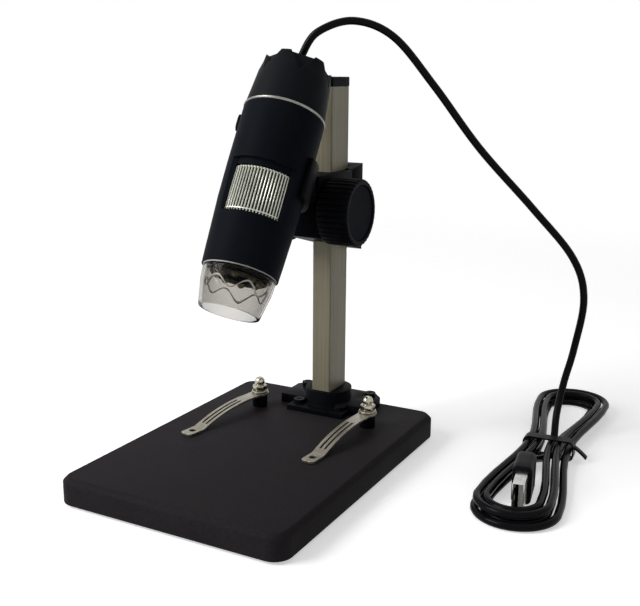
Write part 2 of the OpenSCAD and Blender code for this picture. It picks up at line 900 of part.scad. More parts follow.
module front_lens() {
    color([0.7, 0.8, 0.85, 0.5]) in_scope() translate([0, 0, front_lens_z]) lens();
}

module rear_lens() {
    color([0.7, 0.8, 0.85, 0.5]) in_scope() translate([0, 0, rear_lens_z]) lens();
}

module sensor_board() {
    color([0.05, 0.25, 0.12]) in_scope() translate([0, 0, guide_top]) cylinder(h = board_t, r = board_r);
}

module image_sensor() {
    color([0.15, 0.15, 0.18]) in_scope() translate([0, 0, guide_top - chip_t / 2])
        cube([chip_w, chip_w, chip_t], center = true);
}

plunger_x = -button_in + switch_gap;

module button_switch() {
    color([0.25, 0.25, 0.25]) in_scope() union() {
        translate([plunger_x + plunger_l, -switch_w / 2, guide_top + board_t])
            cube([switch_depth, switch_w, 2 * (button_z - guide_top - board_t)]);
        translate([plunger_x, 0, button_z]) rotate([0, 90, 0]) cylinder(h = plunger_l + 1, r = plunger_r);
    }
}

module snapshot_button() {
    color([0.1, 0.1, 0.11]) in_scope() union() {
        intersection() {
            button_hole(0);
            translate([-button_out, -barrel_r, button_z - button_l])
                cube([button_out - button_in, 2 * barrel_r, 2 * button_l]);
        }
        translate([-button_in - button_flange, 0, button_z]) rotate([0, 90, 0]) rotate([0, 0, 90])
            linear_extrude(button_flange)
                square([button_w + 2 * button_flange_w, button_l + 2 * button_flange_w], center = true);
    }
}

module led_board() {
    color([0.06, 0.06, 0.07]) in_scope() translate([0, 0, guide_low - board_t]) difference() {
        cylinder(h = board_t, r = led_board_r);
        translate([0, 0, -1]) cylinder(h = board_t + 2, r = led_hole_r);
    }
}

module leds() {
    color([0.95, 0.95, 0.9]) in_scope() for (i = [0 : led_count - 1]) {
        rotate([0, 0, 360 * i / led_count]) translate([led_circle, 0, guide_low - board_t - led_h]) union() {
            cylinder(h = led_h, r = led_r);
            intersection() {
                sphere(led_r);
                translate([0, 0, -led_r]) cylinder(h = led_r, r = led_r);
            }
        }
    }
}

module nose_cover() {
    color([0.85, 0.88, 0.9, 0.5]) in_scope() rotate_extrude($fn = 96) polygon([
        [nose_spigot_in, nose_spigot_z], [nose_spigot, nose_spigot_z], [nose_spigot, nose_z],
        [nose_top_r, nose_z], nose_mid, nose_end, nose_end - [nose_wall, 0], nose_mid - [nose_wall, 0],
        [nose_top_r - nose_wall, nose_z], [nose_spigot_in, nose_z]
    ]);
}

module diffuser_ring() {
    pitch = 360 / diffuser_waves;
    turns = [for (i = [0 : wave_steps]) pitch * (i / wave_steps - 0.5)];
    wave = [for (a = turns)
        [diffuser_r * sin(a), diffuser_low + diffuser_wave * pow(cos(180 * a / pitch), 2)]];
    below = [[wave[wave_steps][0], diffuser_low - 1], [wave[0][0], diffuser_low - 1]];
    color([0.85, 0.86, 0.88, 0.6]) in_scope() difference() {
        rotate_extrude($fn = 72) polygon([
            [diffuser_in, guide_low], [diffuser_r, guide_low], [diffuser_r, diffuser_bend],
            [diffuser_r - diffuser_narrow, diffuser_low], [diffuser_in - diffuser_narrow, diffuser_low],
            [diffuser_in, diffuser_bend]
        ]);
        for (i = [0 : diffuser_waves - 1]) {
            rotate([90, 0, pitch * (i + 0.5)]) linear_extrude(2 * diffuser_r) polygon(concat(wave, below));
        }
    }
}

module usb_cable() {
    tip = boot_tip + boot_way * cable_d;
    last = hank_global(hank_end);
    last_way = hank_turned([0, 1, 0]);
    bends = concat([tip], cable_route, [last + last_way * cable_d]);
    path = concat([boot_tip], route(bends, cord_step), [last]);
    color([0.05, 0.05, 0.05]) tube(path, boot_way, -last_way, cord_side, cable_r, cord_sides);
}

// Hank: two layers of loops, out in the lower and in again in the upper
function hank_inset(t) = hank_pitch * (t < hank_loops ? hank_loops - t : t - hank_loops);
function hank_dip(y) = pow(cos(90 * y / lobe_mid), 2);
function hank_level(t) = lobe_z + hank_pitch * ease((t - hank_loops) / run_part + 0.5);
function run_point(t, side, y) =
    let (r = lobe_r - hank_inset(t))
    [side * (r - (lobe_r - waist_r) * hank_dip(y)), y, hank_level(t) + waist_lift * hank_dip(y)];
function turn_point(t, end, a) =
    let (r = lobe_r - hank_inset(t))
    [r * cos(a), end * (lobe_mid + r * sin(a)), hank_level(t)];
function hank_point(t) =
    let (f = t - floor(t), h = run_part / 2)
    f < h ? run_point(t, 1, lobe_mid * f / h) :
    f < h + turn_part ? turn_point(t, 1, 180 * (f - h) / turn_part) :
    f < 3 * h + turn_part ? run_point(t, -1, lobe_mid * (1 - (f - h - turn_part) / h)) :
    f < 3 * h + 2 * turn_part ? turn_point(t, -1, 180 * (1 - (f - 3 * h - turn_part) / turn_part)) :
    run_point(t, 1, lobe_mid * ((f - 3 * h - 2 * turn_part) / h - 1));
hank_end = [waist_r - hank_pitch * hank_loops, cable_d, lobe_z + hank_pitch + waist_lift];
hank_path = concat(
    route(concat([tail_tip, tail_tip + cable_d * tail_way], hank_tail, [hank_point(0)]), 2),
    [for (i = [1 : 2 * hank_loops * loop_rings - 1]) hank_point(i / loop_rings)],
    [hank_end - [0, cable_d, 0], hank_end]
);
function hank_turned(v) = [
    v[0] * cos(hank_yaw) - v[1] * sin(hank_yaw), v[0] * sin(hank_yaw) + v[1] * cos(hank_yaw), v[2]
];
function hank_global(p) = hank_turned(p) + [hank_at[0], hank_at[1], 0];

// Least gap of the hank to itself, on points about gap_step apart along its middle
function between(a, b) =
    let (n = ceil(norm(b - a) / gap_step))
    [for (j = [0 : n - 1]) a + (b - a) * j / n];
function least_gap(p) =
    let (q = [for (i = [0 : len(p) - 2]) each between(p[i], p[i + 1])])
    min([for (i = [0 : len(q) - 1 - gap_skip], j = [i + gap_skip : len(q) - 1]) norm(q[i] - q[j])]) - cable_d;

module cable_hank() {
    echo(least_gap_of_the_hank_mm = least_gap(hank_path));
    color([0.05, 0.05, 0.05]) in_hank()
        tube(hank_path, tail_way, [0, 1, 0], [0, 0, 1], cable_r, hank_sides);
}

tie_left = -(waist_r - hank_pitch / 2) - cable_r - tie_room;
tie_right = waist_r + cable_r + tie_room;
tie_low = waist_lift + 0.05 - tie_room;
tie_high = lobe_z + waist_lift + hank_pitch + cable_r + tie_room;

module cable_tie() {
    color([0.06, 0.06, 0.06]) in_hank() union() {
        translate([(tie_left + tie_right) / 2, 0, (tie_low + tie_high) / 2]) rotate([90, 0, 0])
            linear_extrude(tie_w, center = true) difference() {
                rounded(tie_right - tie_left + 2 * tie_t, tie_high - tie_low + 2 * tie_t,
                    cable_r + tie_room + tie_t);
                rounded(tie_right - tie_left, tie_high - tie_low, cable_r + tie_room);
            }
        translate([tie_right, -tie_tail[1] / 2, tie_high - tie_tail_drop]) rotate([0, 30, 0]) cube(tie_tail);
    }
}

// Plug along +Z from the back of its moulding, standing on its narrow edge
module plug_body() {
    color([0.05, 0.05, 0.06]) in_plug() difference() {
        union() {
            linear_extrude(plug_l) rounded(plug_t, plug_h, plug_edge);
            translate([0, 0, -relief_l]) cylinder(h = relief_l + 1, r = relief_r);
        }
        translate([0, 0, plug_l - shell_in]) linear_extrude(shell_in + 1)
            square([shell_t + 2 * touch, shell_h + 2 * touch], center = true);
    }
}

module plug_shell() {
    color([0.78, 0.78, 0.8]) in_plug() translate([0, 0, plug_l - shell_in]) linear_extrude(shell_in + shell_l)
        difference() {
            square([shell_t, shell_h], center = true);
            square([shell_t - 2 * shell_wall, shell_h - 2 * shell_wall], center = true);
        }
}

tongue_x = shell_t / 2 - shell_wall - touch - tongue_t;

module plug_tongue() {
    color([0.9, 0.9, 0.88]) in_plug() translate([tongue_x, -tongue_h / 2, plug_l - shell_in])
        cube([tongue_t, tongue_h, shell_in + tongue_l]);
}

module plug_contacts() {
    color([0.85, 0.7, 0.35]) in_plug() for (y = contact_y) {
        translate([tongue_x - contact_t, y - contact_w / 2, plug_l + tongue_l - contact_end - contact_l])
            cube([contact_t, contact_w, contact_l]);
    }
}

base_plate();
base_feet();
column_foot();
foot_screws();
column_set_screw();
column();
column_cap();
clip_spacers();
clip_studs();
clip_left();
clip_right();
clip_washers();
clip_nuts();
carriage_body();
carriage_cover();
cover_screws();
friction_pad();
knob_shaft();
friction_roller();
knob_right();
knob_left();
knob_faces();
holder_jaw();
tilt_screw();
tilt_nut();
upper_barrel();
lower_barrel();
trim_ring();
end_cap();
cable_boot();
focus_wheel();
lens_guide();
lens_carrier();
front_lens();
rear_lens();
sensor_board();
image_sensor();
button_switch();
snapshot_button();
led_board();
leds();
nose_cover();
diffuser_ring();
usb_cable();
cable_hank();
cable_tie();
plug_body();
plug_shell();
plug_tongue();
plug_contacts();
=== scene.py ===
import math

import bmesh
import bpy
from mathutils import Matrix, Vector


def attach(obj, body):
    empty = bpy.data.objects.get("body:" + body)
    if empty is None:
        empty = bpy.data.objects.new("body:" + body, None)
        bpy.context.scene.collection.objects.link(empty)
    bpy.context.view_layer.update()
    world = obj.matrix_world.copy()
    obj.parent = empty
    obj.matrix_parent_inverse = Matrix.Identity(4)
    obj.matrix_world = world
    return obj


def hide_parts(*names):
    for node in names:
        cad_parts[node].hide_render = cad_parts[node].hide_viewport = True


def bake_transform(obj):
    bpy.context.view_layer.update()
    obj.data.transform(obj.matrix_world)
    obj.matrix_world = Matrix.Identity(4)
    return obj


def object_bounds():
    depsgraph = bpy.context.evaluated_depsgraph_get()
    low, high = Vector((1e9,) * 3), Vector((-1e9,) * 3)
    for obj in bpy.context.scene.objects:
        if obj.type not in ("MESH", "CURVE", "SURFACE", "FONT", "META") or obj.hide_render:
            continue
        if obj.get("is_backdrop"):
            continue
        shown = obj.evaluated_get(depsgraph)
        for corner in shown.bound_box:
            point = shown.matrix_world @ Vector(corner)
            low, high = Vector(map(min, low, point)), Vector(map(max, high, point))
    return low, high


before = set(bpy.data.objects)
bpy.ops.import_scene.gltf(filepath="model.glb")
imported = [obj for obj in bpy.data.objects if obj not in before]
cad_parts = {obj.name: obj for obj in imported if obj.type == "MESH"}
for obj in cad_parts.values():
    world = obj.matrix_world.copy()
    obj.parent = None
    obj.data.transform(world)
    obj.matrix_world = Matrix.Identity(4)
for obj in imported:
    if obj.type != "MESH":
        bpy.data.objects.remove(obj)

cad_low, cad_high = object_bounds()
scene = bpy.context.scene

# Camera: it stands in front of the stand and to its right, a little above the barrel,
# and looks across the stage. Its lens and place were worked out from the slab and the barrel.
CAMERA_AT = (0.19707, -0.31847, 0.1628)
CAMERA_TURN, CAMERA_DOWN, CAMERA_ROLL = (math.radians(a) for a in (28.15, 13.8, 0.42))
camera = bpy.data.objects.new("camera", bpy.data.cameras.new("camera"))
camera.data.sensor_width = 36
camera.data.lens = 53.84
camera.data.clip_start = 0.01
camera.matrix_world = (
    Matrix.Translation(CAMERA_AT)
    @ Matrix.Rotation(CAMERA_TURN, 4, "Z")
    @ Matrix.Rotation(math.pi / 2 - CAMERA_DOWN, 4, "X")
    @ Matrix.Rotation(CAMERA_ROLL, 4, "Z")
)
scene.collection.objects.link(camera)
scene.camera = camera
scene.view_settings.view_transform = "Standard"

# Studio: a pale table top that runs out into a white room, a large soft lamp at the front left
# and weaker ones at the right and above. What metal and clear plastic see of the room is white.
FLOOR_SPAN = 6.0
FLOOR_DROP = 0.0001
FLOOR_COLOUR = (0.88, 0.88, 0.88, 1)
FLOOR_LIFT = 0.5
FLOOR_SOLID, FLOOR_GONE = 0.3, 0.75
ROOM_LIGHT = 0.16
LAMP_AIM = Vector((0.02, 0.02, 0.08))
LAMPS = (
    ("key_lamp", (-0.75, -0.7, 0.8), 14.0, 0.7),
    ("fill_lamp", (0.9, -0.35, 0.6), 0.4, 0.8),
    ("top_lamp", (-0.1, 0.5, 1.2), 1.8, 0.9),
)


def plain_nodes(tree):
    tree.nodes.clear()
    return tree.nodes, tree.links


def seen_plainly(nodes, links):
    path = nodes.new("ShaderNodeLightPath")
    total = path.outputs["Is Camera Ray"]
    for ray in ("Is Glossy Ray", "Is Transmission Ray"):
        add = nodes.new("ShaderNodeMath")
        add.operation = "MAXIMUM"
        links.new(total, add.inputs[0])
        links.new(path.outputs[ray], add.inputs[1])
        total = add.outputs[0]
    return total


room = bpy.data.worlds.new("white_room")
scene.world = room
room.use_nodes = True
nodes, links = plain_nodes(room.node_tree)
dim = nodes.new("ShaderNodeBackground")
dim.inputs["Color"].default_value = (1, 1, 1, 1)
dim.inputs["Strength"].default_value = ROOM_LIGHT
white = nodes.new("ShaderNodeBackground")
white.inputs["Color"].default_value = (1, 1, 1, 1)
choice = nodes.new("ShaderNodeMixShader")
links.new(seen_plainly(nodes, links), choice.inputs["Fac"])
links.new(dim.outputs[0], choice.inputs[1])
links.new(white.outputs[0], choice.inputs[2])
links.new(choice.outputs[0], nodes.new("ShaderNodeOutputWorld").inputs["Surface"])

table_paint = bpy.data.materials.new("table_paint")
table_paint.use_nodes = True
nodes, links = plain_nodes(table_paint.node_tree)
paint = nodes.new("ShaderNodeBsdfDiffuse")
paint.inputs["Color"].default_value = FLOOR_COLOUR
lift = nodes.new("ShaderNodeEmission")
strength = nodes.new("ShaderNodeMath")
strength.operation = "MULTIPLY"
strength.inputs[1].default_value = FLOOR_LIFT
links.new(seen_plainly(nodes, links), strength.inputs[0])
links.new(strength.outputs[0], lift.inputs["Strength"])
both = nodes.new("ShaderNodeAddShader")
links.new(paint.outputs[0], both.inputs[0])
links.new(lift.outputs[0], both.inputs[1])
spot = nodes.new("ShaderNodeTexCoord")
reach = nodes.new("ShaderNodeVectorMath")
reach.operation = "LENGTH"
links.new(spot.outputs["Object"], reach.inputs[0])
fade = nodes.new("ShaderNodeMapRange")
fade.interpolation_type = "SMOOTHSTEP"
fade.inputs["From Min"].default_value = FLOOR_SOLID
fade.inputs["From Max"].default_value = FLOOR_GONE
links.new(reach.outputs["Value"], fade.inputs["Value"])
runs_out = nodes.new("ShaderNodeMixShader")
links.new(fade.outputs["Result"], runs_out.inputs["Fac"])
links.new(both.outputs[0], runs_out.inputs[1])
links.new(nodes.new("ShaderNodeBsdfTransparent").outputs[0], runs_out.inputs[2])
links.new(runs_out.outputs[0], nodes.new("ShaderNodeOutputMaterial").inputs["Surface"])

bm = bmesh.new()
bmesh.ops.create_grid(bm, x_segments=1, y_segments=1, size=FLOOR_SPAN / 2)
bmesh.ops.translate(bm, verts=bm.verts, vec=(0, 0, -FLOOR_DROP))
table = bpy.data.objects.new("table", bpy.data.meshes.new("table"))
bm.to_mesh(table.data)
bm.free()
table.data.materials.append(table_paint)
scene.collection.objects.link(table)
table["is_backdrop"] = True

for name, place, watts, span in LAMPS:
    lamp = bpy.data.objects.new(name, bpy.data.lights.new(name, "AREA"))
    lamp.data.energy = watts
    lamp.data.size = span
    lamp.location = place
    lamp.rotation_mode = "QUATERNION"
    lamp.rotation_quaternion = (LAMP_AIM - Vector(place)).to_track_quat("-Z", "Y")
    scene.collection.objects.link(lamp)

# Base: a heavy slab of black moulded plastic with round corners and a chamfer round its top.
# Its skin is a fine matt texture, a little brown in warm light, and paler along the edges: partly rubbed
# wear, partly a painted highlight.
MM = 0.001
SLAB = Vector((100, 138, 10.2))
FOOT_H = 1.0
SLAB_CORNER = 7.0
SLAB_CHAMFER = 1.8
SLAB_EDGE = 0.3
MERGE = 0.0005
TOP_Z = FOOT_H + SLAB.z


def material_of(name):
    made = bpy.data.materials.new(name)
    made.use_nodes = True
    tree = made.node_tree
    return made, tree.nodes, tree.links, tree.nodes["Principled BSDF"]


def group_of(name, inputs, outputs):
    made = bpy.data.node_groups.new(name, "ShaderNodeTree")
    for label, kind, value in inputs:
        socket = made.interface.new_socket(label, in_out="INPUT", socket_type=kind)
        socket.default_value = value
    for label, kind in outputs:
        made.interface.new_socket(label, in_out="OUTPUT", socket_type=kind)
    ends = made.nodes.new("NodeGroupInput"), made.nodes.new("NodeGroupOutput")
    return made, made.nodes, made.links, *ends


def noise_of(nodes, links, vector, scale, detail=3.0, rough=0.55):
    made = nodes.new("ShaderNodeTexNoise")
    made.inputs["Detail"].default_value = detail
    made.inputs["Roughness"].default_value = rough
    links.new(vector, made.inputs["Vector"])
    if isinstance(scale, (int, float)):
        made.inputs["Scale"].default_value = scale
    else:
        links.new(scale, made.inputs["Scale"])
    return made


def spread_of(nodes, links, value, low, high):
    made = nodes.new("ShaderNodeMapRange")
    made.inputs["From Min"].default_value = 0.3
    made.inputs["From Max"].default_value = 0.7
    links.new(value, made.inputs["Value"])
    for label, end in (("To Min", low), ("To Max", high)):
        if isinstance(end, (int, float)):
            made.inputs[label].default_value = end
        else:
            links.new(end, made.inputs[label])
    return made.outputs["Result"]


def toned(nodes, links, factor, dark, light):
    tone = nodes.new("ShaderNodeMix")
    tone.data_type = "RGBA"
    links.new(factor, tone.inputs["Factor"])
    for label, end in (("A", dark), ("B", light)):
        if isinstance(end, tuple):
            tone.inputs[label].default_value = (*end, 1)
        else:
            links.new(end, tone.inputs[label])
    return tone.outputs["Result"]


def put_skin(nodes, links, given, put, tone, gloss, height, ends=("Gloss Low", "Gloss High")):
    low, high = (given.outputs[end] for end in ends)
    colour = toned(nodes, links, spread_of(nodes, links, tone, 0.0, 1.0), given.outputs["Dark"],
                   given.outputs["Light"])
    links.new(colour, put.inputs["Colour"])
    links.new(spread_of(nodes, links, gloss, low, high), put.inputs["Roughness"])
    links.new(height, put.inputs["Height"])


# Moulded skin: the fine spark-eroded grain of a moulded surface, with a slow change of tone and gloss
SKIN_SOCKETS = (
    ("Dark", "NodeSocketColor", (0.01, 0.01, 0.012, 1)),
    ("Light", "NodeSocketColor", (0.02, 0.02, 0.024, 1)),
    ("Gloss Low", "NodeSocketFloat", 0.3), ("Gloss High", "NodeSocketFloat", 0.45),
)
SKIN_RESULTS = (
    ("Colour", "NodeSocketColor"), ("Roughness", "NodeSocketFloat"), ("Height", "NodeSocketFloat"),
)
moulded_skin, nodes, links, given, put = group_of(
    "moulded_skin",
    (*SKIN_SOCKETS, ("Grain", "NodeSocketFloat", 2500.0), ("Patch", "NodeSocketFloat", 60.0)), SKIN_RESULTS,
)
place = nodes.new("ShaderNodeTexCoord")
fine = noise_of(nodes, links, place.outputs["Object"], given.outputs["Grain"], 2.0)
slow = noise_of(nodes, links, place.outputs["Object"], given.outputs["Patch"], 4.0)
speck = nodes.new("ShaderNodeMath")
speck.operation = "MULTIPLY_ADD"
speck.inputs[1].default_value = 0.5
links.new(fine.outputs["Fac"], speck.inputs[0])
half = nodes.new("ShaderNodeMath")
half.operation = "MULTIPLY"
half.inputs[1].default_value = 0.5
links.new(slow.outputs["Fac"], half.inputs[0])
links.new(half.outputs[0], speck.inputs[2])
put_skin(nodes, links, given, put, speck.outputs[0], slow.outputs["Fac"], fine.outputs["Fac"])

# Edge wear and highlight mask: how far a point lies on a convex edge, broken up as handling does it; it tints
# edges as wear, and on the base also as a painted highlight
edge_wear_and_highlight_mask, nodes, links, given, put = group_of(
    "edge_wear_and_highlight_mask",
    (("Width", "NodeSocketFloat", 0.0005), ("Break Up", "NodeSocketFloat", 400.0)),
    (("Mask", "NodeSocketFloat"),),
)
soft = nodes.new("ShaderNodeBevel")
soft.samples = 4
links.new(given.outputs["Width"], soft.inputs["Radius"])
flat = nodes.new("ShaderNodeNewGeometry")
alike = nodes.new("ShaderNodeVectorMath")
alike.operation = "DOT_PRODUCT"
links.new(soft.outputs["Normal"], alike.inputs[0])
links.new(flat.outputs["Normal"], alike.inputs[1])
edge = nodes.new("ShaderNodeMapRange")
edge.inputs["From Min"].default_value = 0.99
edge.inputs["From Max"].default_value = 0.86
links.new(alike.outputs["Value"], edge.inputs["Value"])
place = nodes.new("ShaderNodeTexCoord")
marks = noise_of(nodes, links, place.outputs["Object"], given.outputs["Break Up"], 4.0)
edge_wear_and_highlight_node = nodes.new("ShaderNodeMath")
edge_wear_and_highlight_node.operation = "MULTIPLY"
links.new(edge.outputs["Result"], edge_wear_and_highlight_node.inputs[0])
links.new(spread_of(nodes, links, marks.outputs["Fac"], 0.0, 1.0), edge_wear_and_highlight_node.inputs[1])
links.new(edge_wear_and_highlight_node.outputs[0], put.inputs["Mask"])


def skinned(name, group, dark, light, gloss, values, bump, depth, edge_wear_and_highlight, edge):
    made, nodes, links, skin = material_of(name)
    grains = nodes.new("ShaderNodeGroup")
    grains.node_tree = group
    for label, value in (("Dark", (*dark, 1)), ("Light", (*light, 1)), ("Gloss Low", gloss[0]),
                         ("Gloss High", gloss[1]), *values):
        grains.inputs[label].default_value = value
    colour = grains.outputs["Colour"]
    # The edge tone paints rubbed wear, and on the base slab also a painted highlight along its edges.
    if edge_wear_and_highlight:
        edge_wear_and_highlight_node = nodes.new("ShaderNodeGroup")
        edge_wear_and_highlight_node.node_tree = edge_wear_and_highlight_mask
        colour = toned(nodes, links, edge_wear_and_highlight_node.outputs["Mask"], colour, edge_wear_and_highlight)
    links.new(colour, skin.inputs["Base Color"])
    links.new(grains.outputs["Roughness"], skin.inputs["Roughness"])
    relief = nodes.new("ShaderNodeBump")
    relief.inputs["Strength"].default_value = bump
    relief.inputs["Distance"].default_value = depth
    links.new(grains.outputs["Height"], relief.inputs["Height"])
    if edge:
        round_off = nodes.new("ShaderNodeBevel")
        round_off.samples = 4
        round_off.inputs["Radius"].default_value = edge
        links.new(round_off.outputs["Normal"], relief.inputs["Normal"])
    links.new(relief.outputs["Normal"], skin.inputs["Normal"])
    return made, skin


def moulded(name, dark, light, gloss, grain=2500.0, patch=60.0, bump=0.1, depth=0.0001, edge_wear_and_highlight=None,
            specular=0.2, edge=0.0):
    values = ("Grain", grain), ("Patch", patch)
    made, skin = skinned(name, moulded_skin, dark, light, gloss, values, bump, depth, edge_wear_and_highlight, edge)
    skin.inputs["Specular IOR Level"].default_value = specular
    return made


def round_edges(bm, edges, radius, segments):
    bmesh.ops.bevel(bm, geom=edges, offset=radius, offset_type="OFFSET", segments=segments, profile=0.5,
                    affect="EDGES", clamp_overlap=True, material=-1)


def upright_edges(bm):
    return [e for e in bm.edges if abs(e.verts[0].co.z - e.verts[1].co.z) > 1]


def soften(bm, radius, segments=2, least=25):
    bmesh.ops.remove_doubles(bm, verts=bm.verts, dist=MERGE)
    bmesh.ops.recalc_face_normals(bm, faces=bm.faces)
    sharp = [e for e in bm.edges if len(e.link_faces) == 2 and e.calc_face_angle() > math.radians(least)]
    round_edges(bm, sharp, radius, segments)
    return bm


def block(size, low):
    bm = bmesh.new()
    bmesh.ops.create_cube(bm, size=1)
    bmesh.ops.scale(bm, vec=size, verts=bm.verts)
    bmesh.ops.translate(bm, vec=(0, 0, low + size.z / 2), verts=bm.verts)
    return bm


def settle(bm, name, finish, body, nodes, place=None, sharp=35):
    bmesh.ops.remove_doubles(bm, verts=bm.verts, dist=MERGE)
    bmesh.ops.recalc_face_normals(bm, faces=bm.faces)
    if place:
        bmesh.ops.transform(bm, matrix=place, verts=bm.verts)
    bmesh.ops.scale(bm, vec=(MM, MM, MM), verts=bm.verts)
    made = bpy.data.objects.new(name, bpy.data.meshes.new(name))
    bm.to_mesh(made.data)
    bm.free()
    scene.collection.objects.link(made)
    for each in finish if isinstance(finish, tuple) else (finish,):
        made.data.materials.append(each)
    made.data.shade_smooth()
    made.data.set_sharp_from_angle(angle=math.radians(sharp))
    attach(made, body)
    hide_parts(*nodes)
    return made


def dress(finish, *names):
    for name in names:
        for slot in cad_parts[name].material_slots:
            slot.material = finish


# The pale edge tone of the base is a painted highlight along the slab's chamfers as well as rubbed wear.
base_skin = moulded("base_skin", (0.0122, 0.0109, 0.013), (0.0255, 0.0226, 0.0243), (0.55, 0.72),
                    grain=1500.0, patch=45.0, bump=0.35, depth=0.00012, edge_wear_and_highlight=(0.085, 0.08, 0.075),
                    specular=0.028)
bm = block(SLAB, FOOT_H)
round_edges(bm, upright_edges(bm), SLAB_CORNER, 12)
rim = [e for e in bm.edges if min(v.co.z for v in e.verts) > TOP_Z - 0.01]
round_edges(bm, rim, SLAB_CHAMFER, 1)
soften(bm, SLAB_EDGE)
settle(bm, "base_slab", base_skin, "stand", ["base_plate"])

# Feet: four thin discs of soft black rubber let into the underside of the slab.
# They are moulded with a dull skin that picks up dust.
rubber_skin = moulded("rubber_skin", (0.009, 0.009, 0.009), (0.022, 0.021, 0.02), (0.75, 0.92),
                      grain=1200.0, patch=200.0, bump=0.3, specular=0.15, edge=0.0003)
dress(rubber_skin, "base_feet")

# Column foot: a stepped flange with a round collar, moulded in black plastic.
# Four screws hold its plate and its two ears to the slab, and a grub screw behind clamps the column.
stand_skin = moulded("stand_skin", (0.0022, 0.0025, 0.0034), (0.0055, 0.006, 0.0075), (0.36, 0.5),
                     grain=2200.0, patch=70.0, bump=0.16, edge_wear_and_highlight=(0.02, 0.02, 0.022), specular=0.02)
FOOT_EDGE = 0.35
FLAT_ANGLE = math.radians(0.5)


def softened(name, node, radius, finish, body, segments=2):
    bm = bmesh.new()
    bm.from_mesh(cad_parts[node].data)
    bmesh.ops.scale(bm, vec=(1 / MM, 1 / MM, 1 / MM), verts=bm.verts)
    bmesh.ops.remove_doubles(bm, verts=bm.verts, dist=2 * MERGE)
    bmesh.ops.dissolve_limit(bm, angle_limit=FLAT_ANGLE, verts=bm.verts, edges=bm.edges)
    soften(bm, radius, segments)
    return settle(bm, name, finish, body, [node])


softened("foot_flange", "column_foot", FOOT_EDGE, stand_skin, "stand")
screw_black = moulded("screw_black", (0.0022, 0.0022, 0.0026), (0.006, 0.006, 0.0068), (0.34, 0.5),
                      grain=3000.0, patch=300.0, bump=0.08, edge_wear_and_highlight=(0.03, 0.03, 0.03), specular=0.04,
                      edge=0.00015)
dress(screw_black, "foot_screws", "column_set_screw")

# Column: a hollow bar of drawn aluminium, satin along its length, dull and a little warm in tone.
# Fine lines from the die run up it, and a push-in black cap closes its top.
drawn_metal, nodes, links, given, put = group_of(
    "drawn_metal",
    (*SKIN_SOCKETS, ("Streak", "NodeSocketVector", (3000.0, 3000.0, 30.0)),
     ("Patch", "NodeSocketFloat", 40.0)),
    SKIN_RESULTS,
)
place = nodes.new("ShaderNodeTexCoord")
drawn = nodes.new("ShaderNodeVectorMath")
drawn.operation = "MULTIPLY"
links.new(place.outputs["Object"], drawn.inputs[0])
links.new(given.outputs["Streak"], drawn.inputs[1])
lines = noise_of(nodes, links, drawn.outputs["Vector"], 1.0, 3.0)
slow = noise_of(nodes, links, place.outputs["Object"], given.outputs["Patch"], 4.0)
mixed = nodes.new("ShaderNodeMath")
mixed.operation = "MULTIPLY_ADD"
mixed.inputs[1].default_value = 0.55
links.new(lines.outputs["Fac"], mixed.inputs[0])
rest = nodes.new("ShaderNodeMath")
rest.operation = "MULTIPLY"
rest.inputs[1].default_value = 0.45
links.new(slow.outputs["Fac"], rest.inputs[0])
links.new(rest.outputs[0], mixed.inputs[2])
put_skin(nodes, links, given, put, mixed.outputs[0], mixed.outputs[0], lines.outputs["Fac"],
         ("Gloss High", "Gloss Low"))


METAL_SPECULAR = 0.3


def metal(name, dark, light, gloss, streak, patch=40.0, bump=0.05, depth=0.0001, edge_wear_and_highlight=None, edge=0.0,
          metallic=1.0):
    values = ("Streak", streak), ("Patch", patch)
    made, skin = skinned(name, drawn_metal, dark, light, gloss, values, bump, depth, edge_wear_and_highlight, edge)
    skin.inputs["Metallic"].default_value = metallic
    skin.inputs["Specular IOR Level"].default_value = METAL_SPECULAR
    return made


column_alloy = metal("column_alloy", (0.157, 0.14, 0.094), (0.27, 0.245, 0.17), (0.38, 0.52),
                     (1800.0, 1800.0, 14.0), patch=18.0, bump=0.06, edge_wear_and_highlight=(0.36, 0.345, 0.29), edge=0.0003,
                     metallic=0.12)
dress(column_alloy, "column")
TOP_CAP_EDGE = 0.4
softened("column_top_cap", "column_cap", TOP_CAP_EDGE, stand_skin, "stand")

# Stage clips: two strips punched from spring steel with two slots and an eye, arched so that
# the tip presses down. Each turns on a stud, between a black spacer and a washer under a plated acorn nut.
POST_Y = 37.5
POSTS = ((-24.4, -9, "clip_left", "left_clip"), (30.4, -4, "clip_right", "right_clip"))
SPACER_H, SPACER_R = 5.6, 3.4
STRIP_Z, STRIP_T, STRIP_W, STRIP_REACH = 5.7, 0.9, 5.8, 44.0
STRIP_TIP, STRIP_CORNER, STRIP_FLAT, STRIP_DOWN = 4.6, 1.5, 10.0, 40.0
STRIP_REST, STRIP_CUTS, STRIP_STEP = 0.3, 25, 1.25
HEEL_R, HEEL_BORE, EYE_R = 4.0, 1.55, 1.6
SLOT_W, SLOT_L, SLOT_MID, SLOT_OUT = 1.05, 23.0, -25.5, 1.05
WASHER = ((1.55, 6.7), (3.7, 6.7), (3.7, 7.6), (1.55, 7.6))
NUT_Z, NUT_H, NUT_AF = 7.6, 2.6, 5.8
NUT_EDGE, STUD_R, POST_EDGE, WASHER_EDGE = 0.35, 1.6, 0.3, 0.15
DOME_R, DOME_H, DOME_NECK, DOME_LIP, DOME_FOOT = 2.3, 1.4, 0.3, 0.75, 1


def arc(x, y, radius, first, last, steps):
    turns = [math.radians(first + (last - first) * i / steps) for i in range(steps + 1)]
    return [(x + radius * math.cos(a), y + radius * math.sin(a)) for a in turns]


def looped(bm, points, height=0.0):
    ring = [bm.verts.new((x, y, height)) for x, y in points]
    return [bm.edges.new(pair) for pair in zip(ring, ring[1:] + ring[:1])]


def cut_across(bm, at, way):
    whole = bm.verts[:] + bm.edges[:] + bm.faces[:]
    bmesh.ops.bisect_plane(bm, geom=whole, plane_co=at, plane_no=way)


